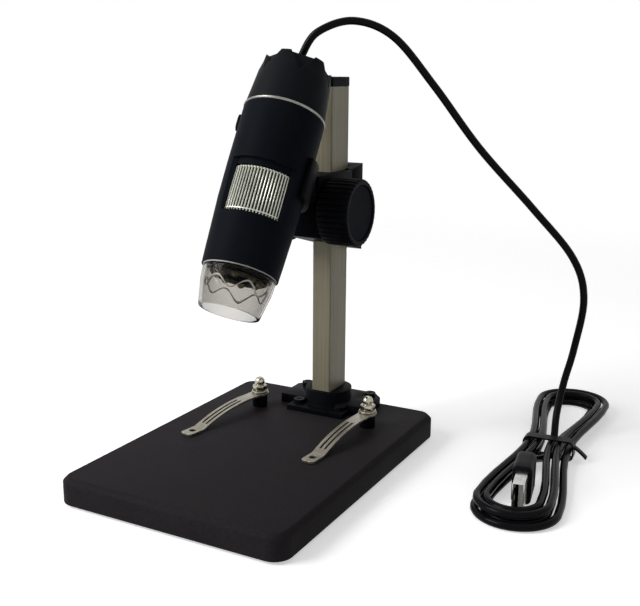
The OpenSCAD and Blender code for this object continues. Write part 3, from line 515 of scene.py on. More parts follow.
def strip():
    bm = bmesh.new()
    side, end = STRIP_W / 2, -STRIP_REACH - STRIP_TIP
    heel = math.degrees(math.acos(side / HEEL_R))
    looped(bm, arc(0, 0, HEEL_R, -heel, 180 + heel, 40)
           + arc(STRIP_CORNER - side, end + STRIP_CORNER, STRIP_CORNER, 180, 270, 8)
           + arc(side - STRIP_CORNER, end + STRIP_CORNER, STRIP_CORNER, 270, 360, 8))
    looped(bm, arc(0, 0, HEEL_BORE, 0, 345, 23))
    looped(bm, arc(0, -STRIP_REACH, EYE_R, 0, 345, 23))
    straight = (SLOT_L - SLOT_W) / 2
    for x in (-SLOT_OUT, SLOT_OUT):
        looped(bm, arc(x, SLOT_MID + straight, SLOT_W / 2, 0, 180, 8)
               + arc(x, SLOT_MID - straight, SLOT_W / 2, 180, 360, 8))
    bmesh.ops.triangle_fill(bm, use_beauty=True, edges=bm.edges[:])
    for i in range(STRIP_CUTS):
        cut_across(bm, (0, -STRIP_FLAT - STRIP_STEP * i, 0), (0, 1, 0))
    bmesh.ops.recalc_face_normals(bm, faces=bm.faces)
    bmesh.ops.solidify(bm, geom=bm.faces[:], thickness=STRIP_T)
    lowest = min(v.co.z for v in bm.verts)
    for v in bm.verts:
        down = min(1, max(0, (-v.co.y - STRIP_FLAT) / (STRIP_DOWN - STRIP_FLAT)))
        v.co.z += STRIP_REST + (STRIP_Z - STRIP_REST) * (1 - down * down) - lowest
    return bm


def turned(profile, steps=64, closed=False):
    bm = bmesh.new()
    chain = [bm.verts.new((r, 0, z)) for r, z in profile]
    edges = [bm.edges.new(pair) for pair in zip(chain, chain[1:])]
    if closed:
        edges.append(bm.edges.new((chain[-1], chain[0])))
    bmesh.ops.spin(bm, geom=chain + edges, cent=(0, 0, 0), axis=(0, 0, 1), angle=math.tau, steps=steps,
                   use_merge=True)
    return bm


def gathered(*shapes):
    whole = bmesh.new()
    for shape in shapes:
        mesh = bpy.data.meshes.new("shape")
        shape.to_mesh(mesh)
        shape.free()
        whole.from_mesh(mesh)
        bpy.data.meshes.remove(mesh)
    return whole


def placed(bm, matrix):
    bmesh.ops.transform(bm, matrix=matrix, verts=bm.verts)
    return bm


def acorn_nut():
    bm = bmesh.new()
    corner, low, top = NUT_AF / 2 / math.cos(math.pi / 6), NUT_Z + DOME_FOOT, NUT_Z + NUT_H
    bmesh.ops.create_cone(bm, cap_ends=True, cap_tris=False, segments=6, depth=NUT_H, radius1=corner,
                          radius2=corner)
    bmesh.ops.translate(bm, vec=(0, 0, NUT_Z + NUT_H / 2), verts=bm.verts)
    soften(bm, NUT_EDGE, 3)
    crown = [(r, top + DOME_H + z) for r, z in arc(0, 0, DOME_R, 0, 90, 12)]
    neck = DOME_R - DOME_NECK
    dome = turned([(0, low), (neck, low), (neck, top + NUT_EDGE), (DOME_R, top + DOME_LIP), *crown], 40)
    return gathered(bm, dome)


spring_steel = metal("spring_steel", (0.2, 0.182, 0.142), (0.38, 0.352, 0.29), (0.26, 0.42),
                     (900.0, 120.0, 900.0), patch=110.0, bump=0.05, edge_wear_and_highlight=(0.6, 0.58, 0.52), edge=0.0002,
                     metallic=0.85)
plated = metal("plated", (0.29, 0.265, 0.205), (0.47, 0.44, 0.365), (0.12, 0.22), (700.0, 700.0, 700.0),
               patch=260.0, bump=0.02, edge_wear_and_highlight=(0.6, 0.58, 0.51))
SPACER = ((STUD_R, 0), (SPACER_R, 0), (SPACER_R, SPACER_H), (STUD_R, SPACER_H))
at_posts = [Matrix.Translation((x, POST_Y, TOP_Z)) for x, turn, node, body in POSTS]
for (x, turn, node, body), post in zip(POSTS, at_posts):
    settle(strip(), node + "_strip", spring_steel, body, [node],
           place=post @ Matrix.Rotation(math.radians(turn), 4, "Z"), sharp=45)
settle(gathered(*(placed(soften(turned(SPACER, 48, True), POST_EDGE), post) for post in at_posts)),
       "clip_post_spacers", stand_skin, "stand", ["clip_spacers"])
settle(gathered(*(placed(soften(turned(WASHER, 48, True), WASHER_EDGE), post) for post in at_posts)),
       "clip_post_washers", spring_steel, "stand", ["clip_washers"])
settle(gathered(*(placed(acorn_nut(), post) for post in at_posts)),
       "clip_acorn_nuts", plated, "stand", ["clip_nuts"])
dress(plated, "clip_studs")

# Height carriage: a block of black plastic moulded in two halves that clasp the column, screwed
# from behind. A pad inside presses on the bar, and a tongue at the front carries the tilting holder.
CARRIAGE_EDGE = 0.4
carriage_skin = moulded("carriage_skin", (0.0014, 0.0016, 0.0026), (0.0038, 0.0041, 0.0056), (0.36, 0.5),
                        grain=2200.0, patch=70.0, bump=0.16, edge_wear_and_highlight=(0.012, 0.012, 0.015), specular=0.012)
softened("carriage_block", "carriage_body", CARRIAGE_EDGE, carriage_skin, "carriage")
softened("carriage_rear_cover", "carriage_cover", CARRIAGE_EDGE, carriage_skin, "carriage")
nylon_white = moulded("nylon_white", (0.55, 0.54, 0.5), (0.68, 0.67, 0.62), (0.45, 0.6), grain=1500.0,
                      patch=150.0, bump=0.1, specular=0.4, edge=0.0002)
dress(screw_black, "cover_screws", "tilt_screw", "tilt_nut")
dress(nylon_white, "friction_pad")

# Height knobs: two ribbed drums of black plastic on one steel shaft, each with a smooth disc in its
# end. Between them a rubber-faced roller grips the column, so that a turn lifts or lowers the carriage.
KNOB_R, KNOB_RIBS, KNOB_STEPS = 14.1, 36, 10
RIB_CUT_R, RIB_CUT_OUT, RIB_FROM, RIB_FADE = 0.75, 0.25, 13.2, 0.6
KNOB_PROFILE = (
    (0, 9.1), (3.05, 9.1), (3.05, 0), (13.3, 0), (13.8, 0.25), (14.1, 0.8), (14.1, 4), (14.1, 8),
    (14.1, 13.1), (13.85, 13.7), (13.3, 14), (12.2, 14), (11.75, 13.85), (11.62, 13.5), (11.6, 12.3),
    (0, 12.3),
)
FACE_PROFILE = (
    (0, 13.36), (5, 13.38), (9.6, 13.42), (10.5, 13.46), (11.1, 13.48), (11.4, 13.4), (11.5, 13.2),
    (11.5, 12.3), (0, 12.3),
)
KNOB_MIDDLE = Matrix.Translation((3, 37, 104.4)) @ Matrix.Rotation(math.pi / 2, 4, "Y")
KNOB_FROM = Matrix.Translation((0, 0, 9))
KNOB_RIGHT = KNOB_MIDDLE @ KNOB_FROM
KNOB_LEFT = KNOB_MIDDLE @ Matrix.Rotation(math.pi, 4, "X") @ KNOB_FROM


def knob():
    bm = turned(KNOB_PROFILE, KNOB_RIBS * KNOB_STEPS)
    for v in bm.verts:
        radius = math.hypot(v.co.x, v.co.y)
        if radius > RIB_FROM:
            part = math.atan2(v.co.y, v.co.x) * KNOB_RIBS / math.tau % 1
            across = min(part, 1 - part) * math.tau * KNOB_R / KNOB_RIBS
            cut = max(0, math.sqrt(max(0, RIB_CUT_R ** 2 - across ** 2)) - RIB_CUT_OUT)
            inward = 1 - cut * min(1, (radius - RIB_FROM) / RIB_FADE) / radius
            v.co.x *= inward
            v.co.y *= inward
    return bm


knob_skin = moulded("knob_skin", (0.0022, 0.0025, 0.0037), (0.006, 0.0065, 0.0085), (0.38, 0.52),
                    grain=2400.0, patch=90.0, bump=0.14, edge_wear_and_highlight=(0.018, 0.018, 0.022), specular=0.02)
disc_skin = moulded("disc_skin", (0.003, 0.0037, 0.0062), (0.0062, 0.0072, 0.011), (0.4, 0.52),
                    grain=2600.0, patch=80.0, bump=0.08, specular=0.01)
settle(knob(), "right_knob", knob_skin, "knobs", ["knob_right"], place=KNOB_RIGHT)
settle(knob(), "left_knob", knob_skin, "knobs", ["knob_left"], place=KNOB_LEFT)
settle(gathered(*(placed(turned(FACE_PROFILE, 72), side) for side in (KNOB_RIGHT, KNOB_LEFT))),
       "knob_discs", disc_skin, "knobs", ["knob_faces"])
bright_steel = metal("bright_steel", (0.45, 0.45, 0.46), (0.6, 0.6, 0.61), (0.2, 0.32),
                     (60.0, 900.0, 900.0), patch=120.0, edge=0.0002)
dress(bright_steel, "knob_shaft")
dress(rubber_skin, "friction_roller")

# Holder: a half ring of black plastic that the barrel clips into, with two ears behind it.
# A screw with a nut goes through the ears and the carriage's tongue, so that the microscope tilts.
HOLDER_EDGE = 0.3
softened("holder_half_ring", "holder_jaw", HOLDER_EDGE, carriage_skin, "holder")

# Barrel: two black mouldings with a soft-touch coat, spigoted into each other, the lower one with the
# focus window. A plated ring parts the barrel from the cap, and the snapshot button stands out on its left.
TILT_AT, TILT, SCOPE_OFF, SCOPE_TURN = (3, 22.2, 113.4), math.radians(-30.5), (0, -23.2, 23), math.radians(22)
SCOPE = (Matrix.Translation(TILT_AT) @ Matrix.Rotation(TILT, 4, "X")
         @ Matrix.Translation(SCOPE_OFF) @ Matrix.Rotation(SCOPE_TURN, 4, "Z"))
BUTTON_EDGE = 0.5
RING = ((14.9, -1.7), (16.4, -1.7), (16.6, -1.45), (16.6, -0.95), (16.4, -0.7), (14.9, -0.7))
barrel_skin = moulded("barrel_skin", (0.0039, 0.0051, 0.0077), (0.0082, 0.0099, 0.0134), (0.44, 0.56),
                      grain=3200.0, patch=55.0, bump=0.1, edge_wear_and_highlight=(0.012, 0.013, 0.016), specular=0.012,
                      edge=0.00025)
dress(barrel_skin, "upper_barrel", "lower_barrel")
ring_plate = metal("ring_plate", (0.165, 0.162, 0.143), (0.28, 0.274, 0.25), (0.3, 0.42),
                   (600.0, 600.0, 600.0), patch=160.0, bump=0.02)
settle(turned(RING, 128, True), "bright_ring", ring_plate, "microscope", ["trim_ring"], place=SCOPE)
softened("snapshot_key", "snapshot_button", BUTTON_EDGE, barrel_skin, "button", segments=3)

# End cap: a black moulding pushed into the barrel's top, its rim cut into six blunt crown teeth.
# The cable comes out of its middle through a stepped rubber boot.
BOOT = (
    (0, 14.5), (3.3, 14.5), (3.3, 17.5), (5, 17.5), (5, 18.5), (4.7, 18.85), (3.4, 19.1), (3.2, 19.8),
    (2.8, 20.0), (2.8, 20.5), (3.05, 20.7), (2.95, 21.3), (2.6, 21.5), (2.6, 22.0), (2.8, 22.2),
    (2.65, 22.7), (2.4, 23), (0, 23),
)
CROWN_EDGE = 0.35
cap_skin = moulded("cap_skin", (0.0048, 0.0058, 0.0075), (0.0095, 0.0105, 0.0128), (0.45, 0.58),
                   grain=3000.0, patch=60.0, bump=0.12, edge_wear_and_highlight=(0.02, 0.021, 0.023), specular=0.035)
softened("crown_cap", "end_cap", CROWN_EDGE, cap_skin, "microscope")
settle(turned(BOOT, 48), "boot", rubber_skin, "microscope", ["cable_boot"], place=SCOPE)

# Focus wheel: a knurled drum of silver-painted plastic that shows in the barrel's window.
# A groove inside it drives the lens carrier, so that a turn moves the lens.
# Its grooves between the ridges carry a darker painted shade.
WHEEL_RIDGES, WHEEL_STEPS, WHEEL_DEEP, WHEEL_SHADE = 72, 8, 0.7, 14.32
WHEEL_FROM, WHEEL_FADE = 14.2, 0.4
WHEEL_LINE, LINE_ROOM = (-46.35, -45.95), 0.01
WHEEL = (
    (12.05, -48.2), (14.3, -48.2), (14.7, -47.8), (14.7, -46.5), (14.7, WHEEL_LINE[0]),
    (14.7, WHEEL_LINE[1]), (14.7, -45.8), (14.7, -40), (14.7, -35), (14.7, -29.5), (14.3, -28.9),
    (12.05, -28.9),
)
wheel_paint = metal("wheel_paint", (0.46, 0.475, 0.4), (0.7, 0.72, 0.63), (0.28, 0.4),
                    (700.0, 700.0, 700.0), patch=130.0, bump=0.03, metallic=0.5)
# Painted shade: a dark finish for the groove faces between the ridges.
wheel_groove_shade = metal("wheel_groove_shade", (0.02, 0.02, 0.013), (0.055, 0.055, 0.036), (0.45, 0.6),
                    (700.0, 700.0, 700.0), patch=130.0, bump=0.03, metallic=0.3)
bm = turned(WHEEL, WHEEL_RIDGES * WHEEL_STEPS, True)
for v in bm.verts:
    radius = math.hypot(v.co.x, v.co.y)
    smooth = WHEEL_LINE[0] - LINE_ROOM < v.co.z < WHEEL_LINE[1] + LINE_ROOM
    if radius > WHEEL_FROM and not smooth:
        wave = 0.5 - 0.5 * math.cos(math.atan2(v.co.y, v.co.x) * WHEEL_RIDGES)
        inward = 1 - WHEEL_DEEP * wave * min(1, (radius - WHEEL_FROM) / WHEEL_FADE) / radius
        v.co.x *= inward
        v.co.y *= inward
# Groove faces below WHEEL_SHADE get the painted shade finish.
for face in bm.faces:
    middle = face.calc_center_median()
    face.material_index = int(math.hypot(middle.x, middle.y) < WHEEL_SHADE and abs(face.normal.z) < 0.5)
settle(bm, "focus_drum", (wheel_paint, wheel_groove_shade), "wheel", ["focus_wheel"], place=SCOPE,
       sharp=60)

# Optics and electronics: a black guide tube with the sliding lens cell in it, the sensor board above it,
# and a black ring board with eight white light diodes under it, which show through the nose.
DIODES, DIODE_CIRCLE, DIODE_Z = 8, 8.6, -69.4
DIODE = (
    (0, -1.5), (0.55, -1.43), (1.0, -1.2), (1.3, -0.85), (1.4, -0.5), (1.4, -0.25), (1.55, -0.2),
    (1.55, 0), (0, 0),
)
inner_skin = moulded("inner_skin", (0.006, 0.006, 0.006), (0.014, 0.014, 0.014), (0.6, 0.75), specular=0.2,
                     edge=0.0002)
dress(inner_skin, "lens_guide", "lens_carrier")
board_black = moulded("board_black", (0.0014, 0.0016, 0.0028), (0.0035, 0.0038, 0.0056), (0.4, 0.5),
                      grain=700.0, patch=180.0, bump=0.08, specular=0.02)
board_green = moulded("board_green", (0.01, 0.07, 0.03), (0.02, 0.12, 0.05), (0.3, 0.4), grain=700.0,
                      patch=200.0, bump=0.1, specular=0.4)
chip_skin = moulded("chip_skin", (0.012, 0.012, 0.014), (0.03, 0.03, 0.033), (0.3, 0.45), specular=0.4,
                    edge=0.0001)
dress(board_black, "led_board")
dress(board_green, "sensor_board")
dress(chip_skin, "image_sensor", "button_switch")

# Clear skin: moulded clear plastic, with faint flow marks and fine wiping scratches
clear_skin, nodes, links, given, put = group_of(
    "clear_skin",
    (*SKIN_SOCKETS, ("Flow", "NodeSocketFloat", 90.0),
     ("Scratch", "NodeSocketVector", (4000.0, 4000.0, 300.0))),
    SKIN_RESULTS,
)
place = nodes.new("ShaderNodeTexCoord")
wiped = nodes.new("ShaderNodeVectorMath")
wiped.operation = "MULTIPLY"
links.new(place.outputs["Object"], wiped.inputs[0])
links.new(given.outputs["Scratch"], wiped.inputs[1])
hair = noise_of(nodes, links, wiped.outputs["Vector"], 1.0, 2.0)
flow = noise_of(nodes, links, place.outputs["Object"], given.outputs["Flow"], 2.0)
put_skin(nodes, links, given, put, flow.outputs["Fac"], hair.outputs["Fac"], flow.outputs["Fac"])


CLEAR_DEPTH, LIMB_BLEND = 0.0003, 0.45


def clear(name, dark, light, gloss, index, flow=90.0, bump=0.05, passing=1.0, limb=None):
    values = (("Flow", flow),)
    made, skin = skinned(name, clear_skin, dark, light, gloss, values, bump, CLEAR_DEPTH, None, 0.0)
    if limb:
        nodes, links = made.node_tree.nodes, made.node_tree.links
        aside = nodes.new("ShaderNodeLayerWeight")
        aside.inputs["Blend"].default_value = LIMB_BLEND
        colour = skin.inputs["Base Color"].links[0].from_socket
        links.new(toned(nodes, links, aside.outputs["Facing"], colour, limb), skin.inputs["Base Color"])
    skin.inputs["Transmission Weight"].default_value = passing
    skin.inputs["IOR"].default_value = index
    return made


lens_glass = clear("lens_glass", (0.9, 0.92, 0.93), (0.96, 0.97, 0.97), (0.01, 0.03), 1.52)
dress(lens_glass, "front_lens", "rear_lens")
diode_resin = clear("diode_resin", (0.2, 0.18, 0.07), (0.42, 0.4, 0.26), (0.04, 0.1), 1.3, flow=500.0,
                    passing=0.6)
diode_off = Matrix.Translation((DIODE_CIRCLE, 0, DIODE_Z))
diode_turns = [Matrix.Rotation(math.tau * i / DIODES, 4, "Z") for i in range(DIODES)]
settle(gathered(*(placed(turned(DIODE, 24), turn @ diode_off) for turn in diode_turns)),
       "white_diodes", diode_resin, "microscope", ["leds"], place=SCOPE)

# Nose: a tapered cup of clear plastic pushed into the barrel, open at its end, which rests near the
# sample. Inside it a thin clear sleeve with a wavy lower edge spreads the light, its cut edge silvery.
NOSE_SPIGOT, NOSE_SEAT = 13.3, -67.2
NOSE = (
    (12.1, -62.5), (NOSE_SPIGOT, -62.5), (NOSE_SPIGOT, NOSE_SEAT), (14.35, NOSE_SEAT), (14.34, -67.65),
    (14.22, -69.2), (14.05, -71.6), (13.8, -73.8), (13.2, -76.7), (12.55, -79.9), (11.95, -82.8),
    (11.75, -83), (10.8, -83), (10.62, -82.8), (11.25, -79.9), (11.9, -76.7), (12.5, -73.8),
    (12.78, -71.0), (13.05, NOSE_SEAT), (12.1, NOSE_SEAT),
)
SLEEVE_R, SLEEVE_WALL, SLEEVE_TOP, SLEEVE_LOW = 12.2, 0.7, -68.2, -76.0
SLEEVE_BEND, SLEEVE_NARROW, SLEEVE_WAVE, SLEEVE_WAVES, SLEEVE_RINGS = -73.4, 0.5, 4.0, 6, 10
SLEEVE_LIP = 0.45
NOSE_RIM, SEAT_ROOM = -67.6, 0.05
nose_clear = clear("nose_clear", (0.63, 0.62, 0.59), (0.7, 0.69, 0.66), (0.02, 0.06), 1.12,
                   limb=(0.34, 0.33, 0.32))
nose_rim = clear("nose_rim", (0.62, 0.61, 0.57), (0.8, 0.79, 0.75), (0.3, 0.45), 1.3, passing=0.2)
bm = turned(NOSE, 128, True)
for face in bm.faces:
    middle = face.calc_center_median()
    outside = math.hypot(middle.x, middle.y) > NOSE_SPIGOT
    face.material_index = int(outside and NOSE_RIM < middle.z < NOSE_SEAT - SEAT_ROOM)
settle(bm, "clear_nose", (nose_clear, nose_rim), "microscope", ["nose_cover"], place=SCOPE)

sleeve_clear = clear("sleeve_clear", (0.92, 0.915, 0.9), (0.96, 0.955, 0.94), (0.02, 0.06), 1.04)
sleeve_edge = metal("sleeve_edge", (0.44, 0.43, 0.4), (0.6, 0.59, 0.55), (0.25, 0.4), (500.0, 500.0, 500.0),
                    metallic=0.35)


def grown_from(bm, ring):
    grown = bmesh.ops.extrude_edge_only(bm, edges=ring)["geom"]
    edges = [e for e in grown if isinstance(e, bmesh.types.BMEdge)]
    return edges, [v for v in grown if isinstance(v, bmesh.types.BMVert)]


bm = bmesh.new()
bmesh.ops.create_circle(bm, cap_ends=False, segments=24 * SLEEVE_WAVES, radius=SLEEVE_R)
bmesh.ops.translate(bm, vec=(0, 0, SLEEVE_TOP), verts=bm.verts)
ring = bm.edges[:]
for level in range(1, SLEEVE_RINGS + 1):
    ring, verts = grown_from(bm, ring)
    for v in verts:
        way = math.atan2(v.co.x, -v.co.y)
        low = SLEEVE_LOW + SLEEVE_WAVE * math.sin(SLEEVE_WAVES / 2 * way) ** 2
        upper = min(level, SLEEVE_RINGS - 1) / (SLEEVE_RINGS - 1)
        v.co.z = low if level == SLEEVE_RINGS else SLEEVE_TOP + (low + SLEEVE_LIP - SLEEVE_TOP) * upper
        radius = SLEEVE_R - SLEEVE_NARROW * max(0, (v.co.z - SLEEVE_BEND) / (SLEEVE_LOW - SLEEVE_BEND))
        v.co.xy = v.co.xy.normalized() * radius
for face in {f for e in ring for f in e.link_faces}:
    face.material_index = 1
bmesh.ops.recalc_face_normals(bm, faces=bm.faces)
bmesh.ops.solidify(bm, geom=bm.faces[:], thickness=SLEEVE_WALL)
settle(bm, "wavy_sleeve", (sleeve_clear, sleeve_edge), "microscope", ["diffuser_ring"],
       place=SCOPE)

# USB cable: a round lead of black glossy vinyl, 3.2 mm thick. It leaves the top of the microscope,
# bows over and drops to the table, where its spare length is folded into a flat bundle with its plug on it.
CABLE = 3.2
ROUND_CABLE = 12
BOOT_TIP = Vector((3, 25.557, 164.81))
BOOT_WAY = Vector((0, 0.50754, 0.86163))
CABLE_ROUTE = (
    (9, 29, 176.5), (22, 35, 181), (36, 43, 175), (50, 53, 156),
    (67, 63, 131), (87, 76, 106), (103, 85, 85), (108, 89, 67),
    (105, 91, 44), (102, 89, 28), (101, 84, 15),
)
BEND_SPLIT = 5
BUNDLE = Matrix.Translation((101, 70, 0)) @ Matrix.Rotation(math.radians(4), 4, "Z")
PITCH = CABLE + 0.5
LOOPS = 2
LOOP_STEPS = 72
LOBE = 16.5
WAIST = 2.5 * PITCH
LOBE_MID = 60
LOBE_Z = CABLE / 2 + 0.05
WAIST_LIFT = 0.9
RUN, TURN = 1 / 6, 1 / 3
PLUG_TURN = math.radians(6)
PLUG_AT = Vector((-1, -36.5, 7.85))
TAIL_WAY = Vector((-math.sin(PLUG_TURN), math.cos(PLUG_TURN), 0))
TAIL_TIP = PLUG_AT + 6 * TAIL_WAY
TAIL = ((-1.9, -22, 6.9), (-0.9, -16, 4.6), (0.4, -10, 2.9), (1.5, -4.5, LOBE_Z + WAIST_LIFT))


def eased(t):
    t = min(1, max(0, t))
    return t * t * (3 - 2 * t)


def routed(points, steps):
    p = [Vector(q) for q in points]
    line = []
    for i in range(len(p) - 1):
        a, b, c, d = p[max(i - 1, 0)], p[i], p[i + 1], p[min(i + 2, len(p) - 1)]
        for j in range(steps):
            t = j / steps
            line.append(0.5 * (2 * b + (c - a) * t + (2 * a - 5 * b + 4 * c - d) * t * t
                               + (3 * b - a - 3 * c + d) * t ** 3))
    return line + [p[-1]]


def bundle_point(t):
    out = LOBE - PITCH * (LOOPS - t if t < LOOPS else t - LOOPS)
    level = LOBE_Z + PITCH * eased((t - LOOPS) / RUN + 0.5)

    def run(side, y):
        dip = math.cos(math.pi / 2 * y / LOBE_MID) ** 2
        return Vector((side * (out - (LOBE - WAIST) * dip), y, level + WAIST_LIFT * dip))

    def turn(end, a):
        return Vector((out * math.cos(a), end * (LOBE_MID + out * math.sin(a)), level))

    f, h = t - math.floor(t), RUN / 2
    if f < h:
        return run(1, LOBE_MID * f / h)
    if f < h + TURN:
        return turn(1, math.pi * (f - h) / TURN)
    if f < 3 * h + TURN:
        return run(-1, LOBE_MID * (1 - (f - h - TURN) / h))
    if f < 3 * h + 2 * TURN:
        return turn(-1, math.pi * (1 - (f - 3 * h - TURN) / TURN))
    return run(1, LOBE_MID * ((f - 3 * h - 2 * TURN) / h - 1))


bundle_end = Vector((WAIST - PITCH * LOOPS, CABLE, LOBE_Z + PITCH + WAIST_LIFT))
bundle_line = routed([TAIL_TIP, TAIL_TIP + CABLE * TAIL_WAY, *TAIL, bundle_point(0)], 8)
bundle_line += [bundle_point(i / LOOP_STEPS) for i in range(1, 2 * LOOPS * LOOP_STEPS)]
bundle_line += [bundle_end - Vector((0, CABLE, 0)), bundle_end]
bundle_line = [BUNDLE @ p for p in bundle_line]
came_in = BUNDLE.to_3x3() @ Vector((0, CABLE, 0))
free_line = routed([BOOT_TIP, BOOT_TIP + CABLE * BOOT_WAY, *CABLE_ROUTE, bundle_line[-1] + came_in,
                    bundle_line[-1]], 10)
bend = Vector(CABLE_ROUTE[BEND_SPLIT - 1])
split = free_line.index(min(free_line, key=lambda p: (p - bend).length))
upper_line = [p * MM for p in free_line[:split + 1]]
lower_line = [p * MM for p in free_line[split:] + bundle_line[-2::-1]]
cable_vinyl = moulded("cable_vinyl", (0.0019, 0.0021, 0.0028), (0.0044, 0.0047, 0.0058), (0.16, 0.26),
                      grain=900.0, patch=120.0, bump=0.12, specular=0.05)


def cord_mesh(name, line, thickness, finish):
    curve = bpy.data.curves.new(name, "CURVE")
    curve.dimensions = "3D"
    curve.bevel_depth = thickness / 2
    curve.bevel_resolution = ROUND_CABLE // 4
    curve.use_fill_caps = True
    spline = curve.splines.new("POLY")
    spline.points.add(len(line) - 1)
    for point, at in zip(spline.points, line):
        point.co = (*at, 1)
    holder = bpy.data.objects.new(name + "_line", curve)
    scene.collection.objects.link(holder)
    view = bpy.context.evaluated_depsgraph_get()
    mesh = bpy.data.meshes.new_from_object(holder.evaluated_get(view))
    mesh.name = name
    bpy.data.objects.remove(holder)
    made = bpy.data.objects.new(name, mesh)
    scene.collection.objects.link(made)
    mesh.materials.clear()
    mesh.materials.append(finish)
    mesh.shade_smooth()
    mesh.set_sharp_from_angle(angle=math.radians(50))
    return made


upper_cable = cord_mesh("cable_bow", upper_line, CABLE * MM, cable_vinyl)
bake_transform(upper_cable)
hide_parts("usb_cable")

lower_cable = cord_mesh("cable_drop_and_bundle", lower_line, CABLE * MM, cable_vinyl)
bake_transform(lower_cable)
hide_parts("cable_hank", "usb_cable")

# Cable tie: a flat strap of black plastic wound round the waist of the bundle and cut to length.
# Its tail is left sticking out at the right and bends down a little.
TIE_ROOM = 0.3
TIE_LEFT, TIE_RIGHT = -(WAIST - PITCH / 2) - CABLE / 2 - TIE_ROOM, WAIST + CABLE / 2 + TIE_ROOM
TIE_LOW = WAIST_LIFT + LOBE_Z - CABLE / 2 - TIE_ROOM
TIE_HIGH = LOBE_Z + WAIST_LIFT + PITCH + CABLE / 2 + TIE_ROOM
TIE_T, TIE_W, TIE_R, TIE_STEPS = 0.7, 5.0, CABLE / 2 + TIE_ROOM, 6
TIE_TAIL = Vector((7, 3, 0.9))
TIE_TAIL_DROP, TIE_TAIL_EDGE, TIE_TAIL_SAG, TIE_TAIL_RISE = 2.6, 0.2, 0.02, 0.3
TIE_TAIL_SLOPE = math.radians(30)
bm = bmesh.new()
right, left, high, low = TIE_RIGHT - TIE_R, TIE_LEFT + TIE_R, TIE_HIGH - TIE_R, TIE_LOW + TIE_R
corners = (right, high), (left, high), (left, low), (right, low)
ring = looped(bm, [p for i, (x, z) in enumerate(corners) for p in arc(x, z, TIE_R, 90 * i, 90 * i + 90, 8)])
bmesh.ops.rotate(bm, matrix=Matrix.Rotation(math.pi / 2, 3, "X"), verts=bm.verts)
bmesh.ops.translate(bm, vec=(0, TIE_W / 2, 0), verts=bm.verts)
for step in range(TIE_STEPS):
    ring, verts = grown_from(bm, ring)
    bmesh.ops.translate(bm, vec=(0, -TIE_W / TIE_STEPS, 0), verts=verts)
bmesh.ops.recalc_face_normals(bm, faces=bm.faces)
bmesh.ops.solidify(bm, geom=bm.faces[:], thickness=-TIE_T)
tail = block(TIE_TAIL, -TIE_TAIL.z / 2)
lengthwise = [e for e in tail.edges if abs(e.verts[0].co.x - e.verts[1].co.x) > 1]
bmesh.ops.subdivide_edges(tail, edges=lengthwise, cuts=6)
soften(tail, TIE_TAIL_EDGE, 2, 60)
for v in tail.verts:
    v.co.z -= TIE_TAIL_SAG * (v.co.x + TIE_TAIL.x / 2) ** 2 - TIE_TAIL_RISE
bmesh.ops.translate(tail, vec=(TIE_TAIL.x / 2, 0, TIE_TAIL.z / 2), verts=tail.verts)
bmesh.ops.rotate(tail, matrix=Matrix.Rotation(TIE_TAIL_SLOPE, 3, "Y"), verts=tail.verts)
bmesh.ops.translate(tail, vec=(TIE_RIGHT, 0, TIE_HIGH - TIE_TAIL_DROP), verts=tail.verts)
tie_strap = moulded("tie_strap", (0.0024, 0.0024, 0.003), (0.006, 0.006, 0.007), (0.3, 0.42), grain=1800.0,
                    patch=220.0, bump=0.12, specular=0.05, edge=0.00015)
tie = settle(gathered(bm, tail), "bundle_tie", tie_strap, "stand", ["cable_tie"], place=BUNDLE)

# USB plug: a black moulding with finger grooves and a ribbed strain relief, on a folded steel shell.
# The shell has two latch windows on each wide side, and a pale tongue with four contacts lies in it.
PLUG = (BUNDLE @ Matrix.Translation(PLUG_AT) @ Matrix.Rotation(PLUG_TURN, 4, "Z")
        @ Matrix.Rotation(math.pi / 2, 4, "X"))
PLUG_SIZE = Vector((7.6, 15.6, 16))
PLUG_EDGE, PLUG_RIM = 2.0, 0.5
GROOVES, GROOVE_CUTS = (4.0, 6.0, 8.0, 10.0), (-0.6, -0.3, 0, 0.3, 0.6)
GROOVE_REACH, GROOVE_MID, GROOVE_DEEP, GROOVE_SIDE = 0.4, 0.1, 0.88, 0.92
RELIEF = ((0, 1), (3.4, 1), (3.4, -0.4), (2.7, -0.8), (2.7, -1.5), (2.3, -1.7), (2.3, -2.2), (2.65, -2.4),
          (2.6, -3.2), (2.2, -3.4), (2.2, -3.9), (2.5, -4.1), (2.4, -4.9), (2.05, -5.1), (2.0, -6), (0, -6))
SHELL = Vector((4.5, 12, 18))
SHELL_FROM, SHELL_WALL, SHELL_EDGE = 10.0, 0.35, 0.5
WINDOW_Y, WINDOW_Z = (1.5, 3.7), (20.6, 22.6)
bm = block(PLUG_SIZE, 0)
round_edges(bm, upright_edges(bm), PLUG_EDGE, 6)
soften(bm, PLUG_RIM, 3, 60)
for z in (groove + off for groove in GROOVES for off in GROOVE_CUTS):
    cut_across(bm, (0, 0, z), (0, 0, 1))
for v in bm.verts:
    near = min(abs(v.co.z - groove) for groove in GROOVES)
    if near < GROOVE_REACH and abs(v.co.y) < PLUG_SIZE.y / 2 - PLUG_EDGE + 0.1:
        v.co.x *= GROOVE_DEEP if near < GROOVE_MID else GROOVE_SIDE
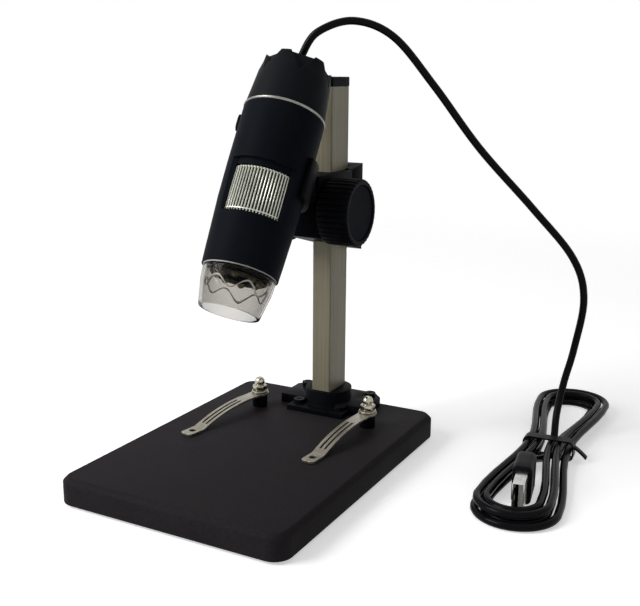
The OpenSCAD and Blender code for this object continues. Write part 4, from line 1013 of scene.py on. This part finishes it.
plug_vinyl = moulded("plug_vinyl", (0.0028, 0.003, 0.0038), (0.0065, 0.007, 0.0082), (0.36, 0.5),
                     grain=2000.0, patch=120.0, bump=0.14, edge_wear_and_highlight=(0.02, 0.02, 0.022), specular=0.045)
plug_body = settle(gathered(bm, turned(RELIEF, 40)), "plug_moulding", plug_vinyl, "stand", ["plug_body"],
                   place=PLUG)

bm = block(SHELL, SHELL_FROM)
bmesh.ops.delete(bm, geom=[f for f in bm.faces if abs(f.normal.z) > 0.9], context="FACES")
round_edges(bm, upright_edges(bm), SHELL_EDGE, 4)
for y in (*WINDOW_Y, -WINDOW_Y[0], -WINDOW_Y[1]):
    cut_across(bm, (0, y, 0), (0, 1, 0))
for z in WINDOW_Z:
    cut_across(bm, (0, 0, z), (0, 0, 1))
windows = []
for face in bm.faces:
    middle = face.calc_center_median()
    if WINDOW_Y[0] < abs(middle.y) < WINDOW_Y[1] and WINDOW_Z[0] < middle.z < WINDOW_Z[1]:
        windows.append(face)
bmesh.ops.delete(bm, geom=windows, context="FACES")
bmesh.ops.recalc_face_normals(bm, faces=bm.faces)
bmesh.ops.solidify(bm, geom=bm.faces[:], thickness=SHELL_WALL)
plug_steel = metal("plug_steel", (0.42, 0.42, 0.4), (0.6, 0.6, 0.57), (0.18, 0.3), (500.0, 500.0, 500.0),
                   patch=200.0, bump=0.03, edge_wear_and_highlight=(0.7, 0.7, 0.68))
plug_shell = settle(bm, "plug_steel_shell", plug_steel, "stand", ["plug_shell"], place=PLUG)
tongue_white = moulded("tongue_white", (0.62, 0.62, 0.6), (0.74, 0.74, 0.71), (0.4, 0.5), grain=1800.0,
                       patch=200.0, specular=0.4, edge=0.0001)
gold_plate = metal("gold_plate", (0.62, 0.45, 0.16), (0.8, 0.6, 0.25), (0.2, 0.3), (400.0, 400.0, 400.0),
                   patch=300.0)
dress(tongue_white, "plug_tongue")
dress(gold_plate, "plug_contacts")

size = {"cad_low": list(cad_low), "cad_high": list(cad_high)}
seen_low, seen_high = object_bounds()
size["visual_low"], size["visual_high"] = list(seen_low), list(seen_high)
